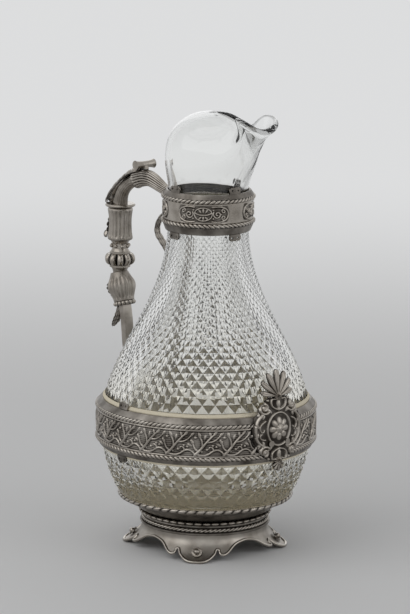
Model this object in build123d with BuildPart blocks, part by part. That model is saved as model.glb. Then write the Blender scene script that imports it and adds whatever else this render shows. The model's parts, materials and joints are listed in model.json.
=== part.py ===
from build123d import *

import os
from math import cos, pi, radians, sin

# Orangeade carafe: a cut-glass jug in silver mounts, in millimetres.
# The foot stands on the plane z = 0, centred on the origin. The pouring lip
# and the medallion point along +X, the handle lies along -X, and +Z is up.

os.makedirs("parts", exist_ok=True)

# Fits
seat_gap = 0.25  # between curved faces that seat on each other
bore_gap = 0.15  # round a screw or rod, on the radius

# Glass body
base_radius = 34.0
base_height = 28.6
heel_radius = 53.0
heel_height = 33.7
cup_line_radius = 59.5
cup_line_height = 39.0
lower_radius = 67.0
lower_height = 54.0
belly_radius = 72.4
belly_height = 84.0
shoulder_radius = 61.2
shoulder_height = 128.6
slope_radius = 39.0
slope_height = 173.0
throat_radius = 28.9
throat_height = 206.0
neck_radius = 27.2
neck_height = 247.0
body_wall = 4.2
base_thickness = 9.0

# Hood and mouth of the glass
hood_radius = 29.4
hood_centre_rise = 24.5
hood_rise = 53.2
hood_power = 1.62
hood_wall = 2.8

# Foot
toe_count = 4
toe_reach = 56.4
toe_pad = 3.4
toe_roll = 1.4
apron_height = 16.3
apron_radius = 43.2
apron_wall = 1.8
arch_height = 13.2
notch_height = 7.6
toe_half_width = 12.2
boss_radius = 3.6
boss_height = 5.7
boss_reach = 49.0
rivet_radius = 1.0
step_radius = 44.6
step_thickness = 1.7
ring_bore = 36.0
foot_rope_radius = 43.9
foot_rope_thickness = 2.9
ogee_radius = 43.6
ogee_thickness = 2.4
tongue_radius = 45.4
tongue_thickness = 2.4
tongue_count = 24
cup_wall = 1.3
cup_floor_radius = 41.0
cup_gap = 0.6
cup_rim_height = 36.2
rim_wave = 0.7
rim_wave_count = 24
bolt_radius = 3.0
bolt_head_radius = 6.5
bolt_head_thickness = 1.0
washer_radius = 9.0
washer_thickness = 1.2
nut_width = 10.0
nut_thickness = 4.5

# Waist band
waist_rise = 3.7  # centre of the band above the widest line of the glass
waist_frieze_height = 18.6
waist_wall = 1.2
waist_rope_relief = 1.2
waist_rope_thickness = 3.2
waist_flange_height = 3.6
flange_wall = 1.1
flange_gap = 0.4
packing_wall = 0.6

# Collar
collar_drop = 12.4  # centre of the collar below the neck's end
collar_frieze_height = 13.4
collar_frieze_radius = 30.4
collar_wall = 1.2
collar_rope_relief = 1.6
collar_rope_thickness = 3.0
collar_flange_height = 3.0
collar_skirt_height = 5.0
cartouche_angle = 68.0
cartouche_height = 11.0
cartouche_relief = 0.7
roundel_radius = 3.9
roundel_angle = 14.0

# Scrolled tabs on the flanges
tab_width = 9.0
tab_height = 4.6
tab_wall = 1.2
tab_eye = 0.8

# Medallion
medallion_half_width = 20.5
medallion_half_height = 23.0
medallion_rise = 7.8  # its centre above the centre of the band
medallion_wall = 1.5
medallion_lean = 0.11
medallion_lobes = 16
frame_width = 4.2
frame_relief = 1.8
crest_leaves = 7
crest_leaf_length = 19.0
crest_leaf_width = 4.6
rosette_petals = 8
rosette_radius = 8.5
pendant_length = 8.0
medallion_screw_angle = 5.0
medallion_screw_drop = 1.7
screw_radius = 1.1
screw_head_radius = 2.1
screw_head_thickness = 1.2
shank_setback = 0.2  # the shank ends this short of the plaster
screw_drill = 6.0

# Handle
grip_reach = 97.5
rod_radius = 1.6
abacus_drop = 13.0  # its underside below the centre of the collar
abacus_radius = 10.6
abacus_thickness = 2.0
upper_baluster_radius = 8.8
upper_baluster_height = 24.0
flute_count = 12
flute_radius = 1.5
upper_spool_height = 7.6
upper_spool_radius = 5.2
pearl_radius = 1.4
pearl_count = 8
knop_plate_radius = 7.3
knop_plate_thickness = 1.4
knop_radius = 10.6
knop_height = 8.4
knop_lobes = 12
lower_spool_height = 6.6
lower_spool_radius = 5.0
lower_baluster_radius = 9.9
lower_baluster_length = 18.0
lower_lean = 16.5
lower_ring_radius = 8.3
lower_ring_thickness = 3.0
lower_ring_beads = 16
arm_root_radius = 4.6
arm_waist_radius = 3.6
arm_end_radius = 6.0
arm_ribs = 12
arm_end_reach = 78.0
arm_root_rise = 3.0
arm_end_rise = 8.8
elbow_radius = 5.2
scroll_setback = 7.5
scroll_rise = 11.2
scroll_seat_rise = 8.1
scroll_length = 16.0
scroll_radius = 2.3
leaf_wall = 1.3
leaf_width = 15.0
socket_width = 14.0
socket_wall = 1.8
socket_screw_angle = 8.8
socket_screw_drop = 5.2
socket_top_rise = 11.4
socket_bottom_drop = 8.6
bracket_width = 5.0
tail_width = 7.2
tail_thickness = 4.6
tail_plate_width = 14.0
tail_plate_wall = 1.7
tail_screw_rises = (-6.2, 1.3)  # from the centre of the band
tail_plate_rise = 13.3
tail_plate_drop = 11.7
tail_foot_rise = 8.7
drop_width = 5.6
drop_wall = 1.4
socket_screw_head = 1.5
scroll_foot_width = 3.0
bracket_wall = 2.0
leaf_relief = 1.1
curl_radius = 1.9
ribbon_steps = 10

# Heights of the foot stack, from the table up
step_bottom = apron_height
foot_rope_bottom = step_bottom + step_thickness
ogee_bottom = foot_rope_bottom + foot_rope_thickness
tongue_bottom = ogee_bottom + ogee_thickness
cup_bottom = tongue_bottom + tongue_thickness
cup_floor = cup_bottom + cup_wall

# Places on the glass that the mounts and the hood follow
hood_centre = neck_height + hood_centre_rise
hood_top = neck_height + hood_rise
waist_centre = belly_height + waist_rise
collar_centre = neck_height - collar_drop
waist_frieze_radius = belly_radius + seat_gap + packing_wall + bore_gap + waist_wall
waist_rope_radius = waist_frieze_radius + waist_rope_relief
collar_rope_radius = collar_frieze_radius + collar_rope_relief

# Heights of the waist band, from the middle out
waist_frieze_bottom = waist_centre - waist_frieze_height / 2
waist_frieze_top = waist_centre + waist_frieze_height / 2
waist_bottom = waist_frieze_bottom - waist_rope_thickness
waist_top = waist_frieze_top + waist_rope_thickness
waist_bore = waist_frieze_radius - waist_wall

# Heights of the collar, from the middle out
collar_frieze_bottom = collar_centre - collar_frieze_height / 2
collar_frieze_top = collar_centre + collar_frieze_height / 2
collar_bottom = collar_frieze_bottom - collar_rope_thickness
collar_top = collar_frieze_top + collar_rope_thickness
collar_bore = collar_frieze_radius - collar_wall

# Heights of the medallion and of the plates that hold the handle
medallion_centre = waist_centre + medallion_rise
medallion_screw_height = waist_centre - medallion_screw_drop
socket_screw_height = collar_centre - socket_screw_drop
socket_top = collar_centre + socket_top_rise
socket_bottom = collar_centre - socket_bottom_drop
tail_screw_heights = [waist_centre + rise for rise in tail_screw_rises]
tail_plate_top = waist_centre + tail_plate_rise
tail_plate_bottom = waist_centre - tail_plate_drop
tail_foot_height = waist_centre + tail_foot_rise

# Places of the horn and the thumb rest
arm_root_height = collar_centre + arm_root_rise
arm_end_height = collar_centre + arm_end_rise
scroll_reach = arm_end_reach - scroll_setback
scroll_height = arm_end_height + scroll_rise
scroll_seat = arm_end_height + scroll_seat_rise

# Heights of the turned members of the handle, from the abacus down
abacus_height = collar_centre - abacus_drop
upper_baluster_bottom = abacus_height - upper_baluster_height
upper_spool_bottom = upper_baluster_bottom - upper_spool_height
knop_top = upper_spool_bottom - knop_plate_thickness
knop_bottom = knop_top - knop_height
lower_spool_top = knop_bottom - knop_plate_thickness
lower_spool_bottom = lower_spool_top - lower_spool_height
rod_bore = rod_radius + bore_gap
rod_top = abacus_height + abacus_thickness + 3.0
rod_bottom = lower_spool_bottom - 9.0

# The outer curve of the glass, as radius against height, and the curve of
# its hollow, drawn in by the wall.
body_curve = Spline(
    (base_radius, base_height),
    (heel_radius, heel_height),
    (cup_line_radius, cup_line_height),
    (lower_radius, lower_height),
    (belly_radius, belly_height),
    (shoulder_radius, shoulder_height),
    (slope_radius, slope_height),
    (throat_radius, throat_height),
    (neck_radius, neck_height),
    tangents=((1, 0), (0, 1)),
    tangent_scalars=(1, 1),
)
hollow_curve = Spline(
    (base_radius - body_wall, base_height + base_thickness),
    (lower_radius - 1.6 * body_wall, lower_height),
    (belly_radius - body_wall, belly_height),
    (shoulder_radius - body_wall, shoulder_height),
    (slope_radius - body_wall, slope_height),
    (throat_radius - 0.8 * body_wall, throat_height),
    (neck_radius - hood_wall, neck_height),
    tangents=((1, 0), (0, 1)),
    tangent_scalars=(1, 1),
)


def curve_radius(curve, height):
    """Radius of a rising half outline at a height, found by halving."""
    low, high = 0.0, 1.0
    for _ in range(40):
        middle = (low + high) / 2
        if (curve @ middle).Y < height:
            low = middle
        else:
            high = middle
    return (curve @ low).X


def cup_line(offset):
    """The dish follows the glass at a gap; offset moves it out by a wall."""
    heights = [cup_floor + share * (cup_rim_height - cup_floor) for share in (0.5, 0.78, 1.0)]
    reach = [curve_radius(body_curve, height) + cup_gap for height in heights]
    return [(r + 0.77 * offset, h - 0.64 * offset) for r, h in zip(reach, heights)]


def hood_outline(inset):
    """Superellipse from the widest line of the hood up to its crown."""
    widest = hood_radius - inset
    rise = hood_top - inset - hood_centre
    steps = [0.0, 0.3, 0.55, 0.76, 0.92, 1.0]
    return [(widest * (1 - s**hood_power) ** (1 / hood_power), hood_centre + rise * s) for s in steps]


def direction_plane(angle, reach, height, tilt=0.0):
    """Plane facing outwards at an angle round the axis, with local X level.

    The tilt, in degrees, turns its face up from the level."""
    outwards = Vector(cos(radians(angle)), sin(radians(angle)), 0)
    level = Vector(-sin(radians(angle)), cos(radians(angle)), 0)
    facing = outwards * cos(radians(tilt)) + Vector(0, 0, sin(radians(tilt)))
    origin = outwards * reach + Vector(0, 0, height)
    return Plane(origin=origin, x_dir=level, z_dir=facing)


# Mouth of the glass. Each level gives its height above the neck, the reach of
# the lip, the place and half width of the lobe behind the lip, of the pinch
# behind that, and the half width at the root of the trough.
mouth_levels = [
    (3.0, 27.6, 24.0, 12.5, 17.0, 20.0, 21.0),
    (15.0, 34.8, 29.5, 15.8, 21.0, 21.5, 24.0),
    (27.0, 42.6, 36.5, 14.0, 27.0, 18.5, 24.5),
    (36.0, 48.5, 42.0, 12.0, 32.0, 13.0, 21.5),
    (43.0, 57.5, 49.0, 13.0, 36.0, 10.2, 16.5),
    (49.0, 63.0, 52.0, 15.6, 38.0, 9.8, 11.5),
    (57.0, 67.0, 54.0, 18.5, 39.0, 9.8, 8.5),
]
trough_root = 3.0
trough_side = 9.0


def mouth_section(level, inset):
    """One level outline of the trough: half by a spline, mirrored on X."""
    rise, lip, lobe_x, lobe_y, pinch_x, pinch_y, root_y = level
    with BuildSketch(Plane.XY.offset(neck_height + rise)) as section:
        with BuildLine():
            half = Spline(
                (trough_root + inset / 2, 0),
                (trough_side, root_y - inset),
                (pinch_x, pinch_y - inset),
                (lobe_x, lobe_y - inset),
                (lip - inset, 0),
                tangents=((0, 1), (0, -1)),
                tangent_scalars=(1, 1),
            )
            mirror(half, about=Plane.XZ)
        make_face()
    return section.sketch


def glass_section(curve, foot_radius, foot_height, inset):
    """Half section of the body and hood: foot, side, hood and axis."""
    with BuildSketch(Plane.XZ) as section:
        with BuildLine():
            crown = hood_outline(inset)
            Line((0, foot_height), (foot_radius, foot_height))
            add(curve)
            neck_end = (neck_radius - inset, neck_height)
            Spline(neck_end, crown[0], tangents=((0, 1), (0, 1)), tangent_scalars=(1, 1))
            Spline(*crown, tangents=((0, 1), (-1, 0)), tangent_scalars=(1, 1))
            Line(crown[-1], (0, foot_height))
        make_face()
    return section.sketch


# Glass
with BuildPart() as glass_body:
    revolve(glass_section(body_curve, base_radius, base_height, 0.0), axis=Axis.Z)
    loft([mouth_section(level, 0.0) for level in mouth_levels])
    hollow = glass_section(hollow_curve, base_radius - body_wall, base_height + base_thickness, hood_wall)
    revolve(hollow, axis=Axis.Z, mode=Mode.SUBTRACT)
    loft([mouth_section(level, hood_wall) for level in mouth_levels], mode=Mode.SUBTRACT)
    # The rim, seen from the side: over the hood, down to the pinch, up over
    # the lobes and down to the lip.
    with BuildSketch(Plane.XZ):
        with BuildLine():
            Line((-40, hood_top), (3, hood_top))
            Spline(
                (3, hood_top),
                (15, hood_top - 4.0),
                (28, hood_top - 5.8),
                (36, hood_top - 6.0),
                (42, hood_top - 0.6),
                (47, hood_top - 0.2),
                (54, hood_top - 3.6),
                (59, hood_top - 8.7),
                (63, hood_top - 12.2),
            )
            Polyline(
                (63, hood_top - 12.2),
                (80, hood_top - 12.2),
                (80, hood_top + 20),
                (-40, hood_top + 20),
                (-40, hood_top),
            )
        make_face()
    extrude(amount=60, both=True, mode=Mode.SUBTRACT)
glass_body.part.label = "glass_body"
export_step(glass_body.part, "parts/glass_body.step")


# Foot apron with its toes
toe_angles = [45 + 360 / toe_count * k for k in range(toe_count)]
boss_tilt = 43.0
pad_height = 2.2

arch_half_width = toe_reach * sin(pi / toe_count) + 1.0
arch_start = apron_radius * cos(pi / toe_count)


def beside_toe(angle):
    """What is cut away on both sides of one toe, seen from outside."""
    with BuildSketch(direction_plane(angle, arch_start, 0)) as gap:
        with BuildLine():
            Polyline((arch_half_width, arch_height), (arch_half_width, -1), (5.2, -1), (5.2, 0))
            Spline((5.2, 0), (9.6, 1.7), (toe_half_width, 5.6), (toe_half_width + 0.2, notch_height))
            Spline(
                (toe_half_width + 0.2, notch_height),
                (toe_half_width + 2.0, notch_height + 0.3),
                (toe_half_width + 3.0, notch_height - 2.3),
                (toe_half_width + 5.6, notch_height - 3.5),
            )
            Spline(
                (toe_half_width + 5.6, notch_height - 3.5),
                (toe_half_width + 12, notch_height + 1.6),
                (arch_half_width - 6, arch_height - 0.4),
                (arch_half_width, arch_height),
            )
        make_face()
        mirror(about=Plane.YZ)
    return gap.sketch


with BuildPart() as foot_apron:
    with BuildSketch(Plane.XZ):
        with BuildLine():
            Spline(
                (apron_radius, apron_height),
                (apron_radius + 0.2, 13.0),
                (apron_radius + 3.3, 8.0),
                (toe_reach - 4.2, 3.0),
                (toe_reach, pad_height),
            )
            Polyline(
                (toe_reach, pad_height),
                (toe_reach, 0.4 * pad_height),
                (toe_reach - toe_roll, 0),
                (toe_reach - toe_roll - toe_pad, 0),
            )
            Spline(
                (toe_reach - toe_roll - toe_pad, 0),
                (apron_radius + 4.2, 3.6),
                (apron_radius + 0.6, 8.4),
                (apron_radius - apron_wall, apron_height - apron_wall),
            )
            Polyline(
                (apron_radius - apron_wall, apron_height - apron_wall),
                (bolt_radius + bore_gap, apron_height - apron_wall),
                (bolt_radius + bore_gap, apron_height),
                (apron_radius, apron_height),
            )
        make_face()
    revolve(axis=Axis.Z)
    for angle in toe_angles:
        extrude(beside_toe(angle), amount=toe_reach, mode=Mode.SUBTRACT)
        with Locations(direction_plane(angle, boss_reach, boss_height, boss_tilt)):
            Cylinder(rivet_radius + bore_gap, 12, mode=Mode.SUBTRACT)
foot_apron.part.label = "foot_apron"
export_step(foot_apron.part, "parts/foot_apron.step")

# Domed rivets on the toes, each with a raised ring round its dome
with BuildPart() as foot_bosses:
    for angle in toe_angles:
        with Locations(direction_plane(angle, boss_reach, boss_height, boss_tilt)):
            Cylinder(rivet_radius, 3.6)
            with Locations((0, 0, 1.3)):
                Cylinder(boss_radius, 0.8)
            with Locations((0, 0, 1.7)):
                Cylinder(boss_radius - 0.8, 1.2, mode=Mode.SUBTRACT)
                Cylinder(rivet_radius, 1.2)
                Sphere(2.0)
foot_bosses.part.label = "foot_bosses"
export_step(foot_bosses.part, "parts/foot_bosses.step")

with BuildPart() as foot_step_ring:
    with BuildSketch(Plane.XZ):
        with BuildLine():
            Polyline(
                (ring_bore, step_bottom),
                (step_radius - 0.5, step_bottom),
                (step_radius, step_bottom + 0.5),
                (step_radius, foot_rope_bottom - 0.3),
                (step_radius - 0.3, foot_rope_bottom),
                (ring_bore, foot_rope_bottom),
                close=True,
            )
        make_face()
    revolve(axis=Axis.Z)
foot_step_ring.part.label = "foot_step_ring"
export_step(foot_step_ring.part, "parts/foot_step_ring.step")


def rope_section(bore, radius, bottom, thickness):
    """Half section of a rope moulding: flat faces, round outside."""
    round_depth = thickness / 2
    with BuildSketch(Plane.XZ) as section:
        with BuildLine():
            Polyline(
                (radius - round_depth, bottom),
                (bore, bottom),
                (bore, bottom + thickness),
                (radius - round_depth, bottom + thickness),
            )
            ThreePointArc(
                (radius - round_depth, bottom + thickness),
                (radius, bottom + thickness / 2),
                (radius - round_depth, bottom),
            )
        make_face()
    return section.sketch


with BuildPart() as foot_rope_ring:
    revolve(rope_section(ring_bore, foot_rope_radius, foot_rope_bottom, foot_rope_thickness), axis=Axis.Z)
foot_rope_ring.part.label = "foot_rope_ring"
export_step(foot_rope_ring.part, "parts/foot_rope_ring.step")

with BuildPart() as foot_ogee_ring:
    with BuildSketch(Plane.XZ):
        with BuildLine():
            Polyline(
                (ogee_radius - 1.6, ogee_bottom),
                (ring_bore, ogee_bottom),
                (ring_bore, tongue_bottom),
                (ogee_radius - 0.8, tongue_bottom),
            )
            Spline(
                (ogee_radius - 0.8, tongue_bottom),
                (ogee_radius, ogee_bottom + 0.6 * ogee_thickness),
                (ogee_radius - 1.6, ogee_bottom),
            )
        make_face()
    revolve(axis=Axis.Z)
foot_ogee_ring.part.label = "foot_ogee_ring"
export_step(foot_ogee_ring.part, "parts/foot_ogee_ring.step")

# Tongues standing round the ring under the cup
with BuildPart() as foot_tongue_ring:
    with BuildSketch(Plane.XZ):
        with BuildLine():
            Polyline(
                (ring_bore, tongue_bottom),
                (tongue_radius - 2.6, tongue_bottom),
                (tongue_radius - 1.0, cup_bottom),
                (ring_bore, cup_bottom),
                close=True,
            )
        make_face()
    revolve(axis=Axis.Z)
    with BuildSketch(Plane.XY.offset(tongue_bottom)):
        with PolarLocations(tongue_radius - 2.2, tongue_count):
            Circle(2.2)
    extrude(amount=tongue_thickness)
foot_tongue_ring.part.label = "foot_tongue_ring"
export_step(foot_tongue_ring.part, "parts/foot_tongue_ring.step")

# Dish that holds the glass, with a waved rim
cup_rim_radius = curve_radius(body_curve, cup_rim_height) + cup_gap
cup_ends = ((1, 0), (1, 1.3))
with BuildPart() as foot_cup:
    with BuildSketch(Plane.XZ):
        with BuildLine():
            inner = cup_line(0.0)
            outer = cup_line(cup_wall)
            Polyline(
                (cup_floor_radius, cup_floor),
                (bolt_radius + bore_gap, cup_floor),
                (bolt_radius + bore_gap, cup_bottom),
                (cup_floor_radius, cup_bottom),
            )
            Spline((cup_floor_radius, cup_bottom), *outer, tangents=cup_ends, tangent_scalars=(1, 1))
            Line(outer[-1], inner[-1])
            Spline((cup_floor_radius, cup_floor), *inner, tangents=cup_ends, tangent_scalars=(1, 1))
        make_face()
    revolve(axis=Axis.Z)
    with PolarLocations(cup_rim_radius + cup_wall / 2, rim_wave_count):
        with Locations((0, 0, cup_rim_height + 1.2)):
            Sphere(1.2 + rim_wave, mode=Mode.SUBTRACT)
foot_cup.part.label = "foot_cup"
export_step(foot_cup.part, "parts/foot_cup.step")

# Plaster bedding between the floor of the cup and the glass
with BuildPart() as foot_packing:
    with BuildSketch(Plane.XZ):
        with BuildLine():
            Polyline(
                (bolt_head_radius + 1.0, cup_floor),
                (base_radius - 1.0, cup_floor),
                (base_radius - 1.0, base_height - seat_gap),
                (bolt_head_radius + 1.0, base_height - seat_gap),
                close=True,
            )
        make_face()
    revolve(axis=Axis.Z)
foot_packing.part.label = "foot_packing"
export_step(foot_packing.part, "parts/foot_packing.step")

nut_top = apron_height - apron_wall - washer_thickness
with BuildPart() as foot_bolt:
    with BuildSketch(Plane.XY.offset(nut_top - nut_thickness - 1.5)):
        Circle(bolt_radius)
    extrude(amount=cup_floor - nut_top + nut_thickness + 1.5)
    with BuildSketch(Plane.XY.offset(cup_floor)):
        Circle(bolt_head_radius)
    extrude(amount=bolt_head_thickness)
foot_bolt.part.label = "foot_bolt"
export_step(foot_bolt.part, "parts/foot_bolt.step")

with BuildPart() as foot_washer:
    with BuildSketch(Plane.XY.offset(nut_top)):
        Circle(washer_radius)
        Circle(bolt_radius + bore_gap, mode=Mode.SUBTRACT)
    extrude(amount=washer_thickness)
foot_washer.part.label = "foot_washer"
export_step(foot_washer.part, "parts/foot_washer.step")

with BuildPart() as foot_nut:
    with BuildSketch(Plane.XY.offset(nut_top - nut_thickness)):
        RegularPolygon(nut_width / 2, 6, major_radius=False)
        Circle(bolt_radius + bore_gap, mode=Mode.SUBTRACT)
    extrude(amount=nut_thickness)
foot_nut.part.label = "foot_nut"
export_step(foot_nut.part, "parts/foot_nut.step")


# Waist band
def flange_section(outer, inner, start, end):
    """Half section of a thin sloping collar from a rope in to the glass."""
    with BuildSketch(Plane.XZ) as section:
        with BuildLine():
            Polyline(
                (outer, start),
                (outer - 1.6, start),
                (inner, end),
                (inner + flange_wall, end),
                close=True,
            )
        make_face()
    return section.sketch


def frieze_section(radius, wall, bottom, top):
    """Half section of a flat band."""
    with BuildSketch(Plane.XZ) as section:
        with BuildLine():
            Polyline(
                (radius, bottom),
                (radius, top),
                (radius - wall, top),
                (radius - wall, bottom),
                close=True,
            )
        make_face()
    return section.sketch


screw_places = [(side * medallion_screw_angle, medallion_screw_height) for side in (-1, 1)]
screw_places += [(180, height) for height in tail_screw_heights]
with BuildPart() as waist_band:
    revolve(
        frieze_section(waist_frieze_radius, waist_wall, waist_frieze_bottom, waist_frieze_top),
        axis=Axis.Z,
    )
    for angle, height in screw_places:
        with Locations(direction_plane(angle, waist_frieze_radius, height)):
            Cylinder(screw_radius + bore_gap, screw_drill, mode=Mode.SUBTRACT)
waist_band.part.label = "waist_band"
export_step(waist_band.part, "parts/waist_band.step")

with BuildPart() as waist_rope_upper:
    revolve(
        rope_section(waist_bore, waist_rope_radius, waist_frieze_top, waist_rope_thickness), axis=Axis.Z
    )
waist_rope_upper.part.label = "waist_rope_upper"
export_step(waist_rope_upper.part, "parts/waist_rope_upper.step")

with BuildPart() as waist_rope_lower:
    revolve(rope_section(waist_bore, waist_rope_radius, waist_bottom, waist_rope_thickness), axis=Axis.Z)
waist_rope_lower.part.label = "waist_rope_lower"
export_step(waist_rope_lower.part, "parts/waist_rope_lower.step")

waist_flange_top = waist_top + waist_flange_height
waist_flange_end = curve_radius(body_curve, waist_flange_top) + flange_gap
with BuildPart() as waist_flange_upper:
    revolve(
        flange_section(waist_rope_radius - 1.2, waist_flange_end, waist_top, waist_flange_top), axis=Axis.Z
    )
waist_flange_upper.part.label = "waist_flange_upper"
export_step(waist_flange_upper.part, "parts/waist_flange_upper.step")

waist_skirt_bottom = waist_bottom - 0.8 * waist_flange_height
waist_skirt_end = curve_radius(body_curve, waist_skirt_bottom) + flange_gap
with BuildPart() as waist_flange_lower:
    revolve(
        flange_section(waist_rope_radius - 1.2, waist_skirt_end, waist_bottom, waist_skirt_bottom),
        axis=Axis.Z,
    )
waist_flange_lower.part.label = "waist_flange_lower"
export_step(waist_flange_lower.part, "parts/waist_flange_lower.step")

# Plaster bedding behind the band
waist_packing_outer = waist_bore - bore_gap
waist_packing_inner = belly_radius + seat_gap
with BuildPart() as waist_packing:
    revolve(
        frieze_section(
            waist_packing_outer,
            waist_packing_outer - waist_packing_inner,
            waist_frieze_bottom + 1,
            waist_frieze_top - 1,
        ),
        axis=Axis.Z,
    )
waist_packing.part.label = "waist_packing"
export_step(waist_packing.part, "parts/waist_packing.step")


def scrolled_tab(angle, reach, height, upwards, lean):
    """Outline of a tab: two scroll ends with round eyes and a ball between."""
    plane = direction_plane(angle, reach, height, lean)
    side = 1 if upwards else -1
    scrolls = [(x * tab_width, side * 0.5 * tab_height) for x in (-0.28, 0.28)]
    with BuildSketch(plane) as outline:
        with BuildLine():
            Polyline(
                (-tab_width / 2, 0),
                (-tab_width / 2, side * 0.45 * tab_height),
                (tab_width / 2, side * 0.45 * tab_height),
                (tab_width / 2, 0),
                close=True,
            )
        make_face()
        with Locations(*scrolls):
            Circle(0.24 * tab_width)
        with Locations((0, side * 0.76 * tab_height)):
            Circle(0.24 * tab_height)
        with Locations(*scrolls):
            Circle(tab_eye, mode=Mode.SUBTRACT)
    return outline.sketch


waist_tab_angles = (-90, 90)
with BuildPart() as waist_tabs_upper:
    for angle in waist_tab_angles:
        extrude(
            scrolled_tab(angle, waist_flange_end + flange_wall / 2, waist_flange_top, True, 15),
            amount=tab_wall,
        )
waist_tabs_upper.part.label = "waist_tabs_upper"
export_step(waist_tabs_upper.part, "parts/waist_tabs_upper.step")

with BuildPart() as waist_tabs_lower:
    for angle in waist_tab_angles:
        extrude(scrolled_tab(angle, waist_skirt_end, waist_skirt_bottom, False, -10), amount=tab_wall)
waist_tabs_lower.part.label = "waist_tabs_lower"
export_step(waist_tabs_lower.part, "parts/waist_tabs_lower.step")


# A screw's head stands outwards of its seat and its shank runs inwards
outwards = (Align.CENTER, Align.CENTER, Align.MIN)
inwards = (Align.CENTER, Align.CENTER, Align.MAX)


# Medallion
def medallion_shell(inner, outer, bottom, top):
    """Half section of the sheet the medallion is cut from: upright over the
    band and leaning back above it."""
    bend = waist_top
    back = medallion_lean * (top - bend)
    with BuildSketch(Plane.XZ) as section:
        with BuildLine():
            Polyline(
                (inner, bottom),
                (inner, bend),
                (inner - back, top),
                (outer - back, top),
                (outer, bend),
                (outer, bottom),
                close=True,
            )
        make_face()
    return section.sketch


plate_inner = waist_rope_radius + seat_gap
plate_outer = plate_inner + medallion_wall
relief_inner = plate_outer + seat_gap
relief_outer = relief_inner + frame_relief
relief_depth = relief_outer + 10
volute_y = 11.5
volute_z = 15.5
volute_radius = 5.0
crest_foot = medallion_centre + volute_z + volute_radius + 0.8
crest_top = crest_foot + crest_leaf_length
pendant_head = medallion_centre - volute_z - volute_radius - 0.6
pendant_tip = pendant_head - pendant_length
front = Plane(origin=(0, 0, 0), x_dir=(0, 1, 0), z_dir=(1, 0, 0))
volutes = []
for side_y in (-1, 1):
    for side_z in (-1, 1):
        volutes.append((side_y * volute_y, medallion_centre + side_z * volute_z))

# Scalloped oval plate behind the relief
with BuildPart() as medallion_plate:
    revolve(medallion_shell(plate_inner, plate_outer, pendant_tip, crest_top), axis=Axis.Z)
    with BuildSketch(front):
        with Locations((0, medallion_centre)):
            Ellipse(medallion_half_width - 1.6, medallion_half_height - 1.2)
        for k in range(medallion_lobes):
            turn = 2 * pi * (k + 0.5) / medallion_lobes
            lobe_y = (medallion_half_width - 3.6) * cos(turn)
            lobe_z = medallion_centre + (medallion_half_height - 3.6) * sin(turn)
            with Locations((lobe_y, lobe_z)):
                Circle(4.1)
    extrude(amount=relief_depth, mode=Mode.INTERSECT)
    for angle in (-medallion_screw_angle, medallion_screw_angle):
        with Locations(direction_plane(angle, plate_outer, medallion_screw_height)):
            Cylinder(screw_radius + bore_gap, screw_drill, mode=Mode.SUBTRACT)
medallion_plate.part.label = "medallion_plate"
export_step(medallion_plate.part, "parts/medallion_plate.step")

# Oval frame with a scroll in each corner
with BuildPart() as medallion_frame:
    revolve(medallion_shell(relief_inner, relief_outer, pendant_tip, crest_top), axis=Axis.Z)
    with BuildSketch(front):
        with Locations((0, medallion_centre)):
            Ellipse(medallion_half_width - 3.2, medallion_half_height - 3.0)
        with Locations(*volutes):
            Circle(volute_radius)
        with Locations((0, medallion_centre)):
            Ellipse(
                medallion_half_width - 3.2 - frame_width,
                medallion_half_height - 3.0 - frame_width,
                mode=Mode.SUBTRACT,
            )
        with Locations(*volutes):
            Circle(0.35 * volute_radius, mode=Mode.SUBTRACT)
    extrude(amount=relief_depth, mode=Mode.INTERSECT)
medallion_frame.part.label = "medallion_frame"
export_step(medallion_frame.part, "parts/medallion_frame.step")

# Palmette: leaves fanned from one point, on a cross bar
with BuildPart() as medallion_crest:
    revolve(medallion_shell(relief_inner, relief_outer - 0.3, pendant_tip, crest_top), axis=Axis.Z)
    with BuildSketch(front):
        for k in range(crest_leaves):
            fan = 25.0 * (k - (crest_leaves - 1) / 2)
            length = crest_leaf_length * (1 - 0.08 * abs(k - (crest_leaves - 1) / 2))
            leaf_y = 0.5 * length * sin(radians(fan))
            leaf_z = crest_foot + 0.5 * length * cos(radians(fan))
            with Locations(Location((leaf_y, leaf_z, 0), (0, 0, -fan))):
                Ellipse(crest_leaf_width / 2, length / 2)
        with Locations((0, crest_foot + 1.5)):
            Ellipse(7.5, 2.4)
    extrude(amount=relief_depth, mode=Mode.INTERSECT)
medallion_crest.part.label = "medallion_crest"
export_step(medallion_crest.part, "parts/medallion_crest.step")

# Flower in the middle of the frame: domed eye and a ring of petals
with BuildPart() as medallion_rosette:
    revolve(medallion_shell(relief_inner, relief_outer - 0.6, pendant_tip, crest_top), axis=Axis.Z)
    with BuildSketch(front):
        with Locations((0, medallion_centre)):
            Circle(0.62 * rosette_radius)
            with PolarLocations(0.62 * rosette_radius, rosette_petals):
                Circle(0.38 * rosette_radius)
    extrude(amount=relief_depth, mode=Mode.INTERSECT)
    with Locations((relief_outer - 1.4, 0, medallion_centre)):
        Sphere(0.34 * rosette_radius)
    with BuildSketch(front.offset(relief_inner)):
        with Locations((0, medallion_centre)):
            Circle(2 * rosette_radius)
    extrude(amount=relief_depth - relief_inner, mode=Mode.INTERSECT)
medallion_rosette.part.label = "medallion_rosette"
export_step(medallion_rosette.part, "parts/medallion_rosette.step")

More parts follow.
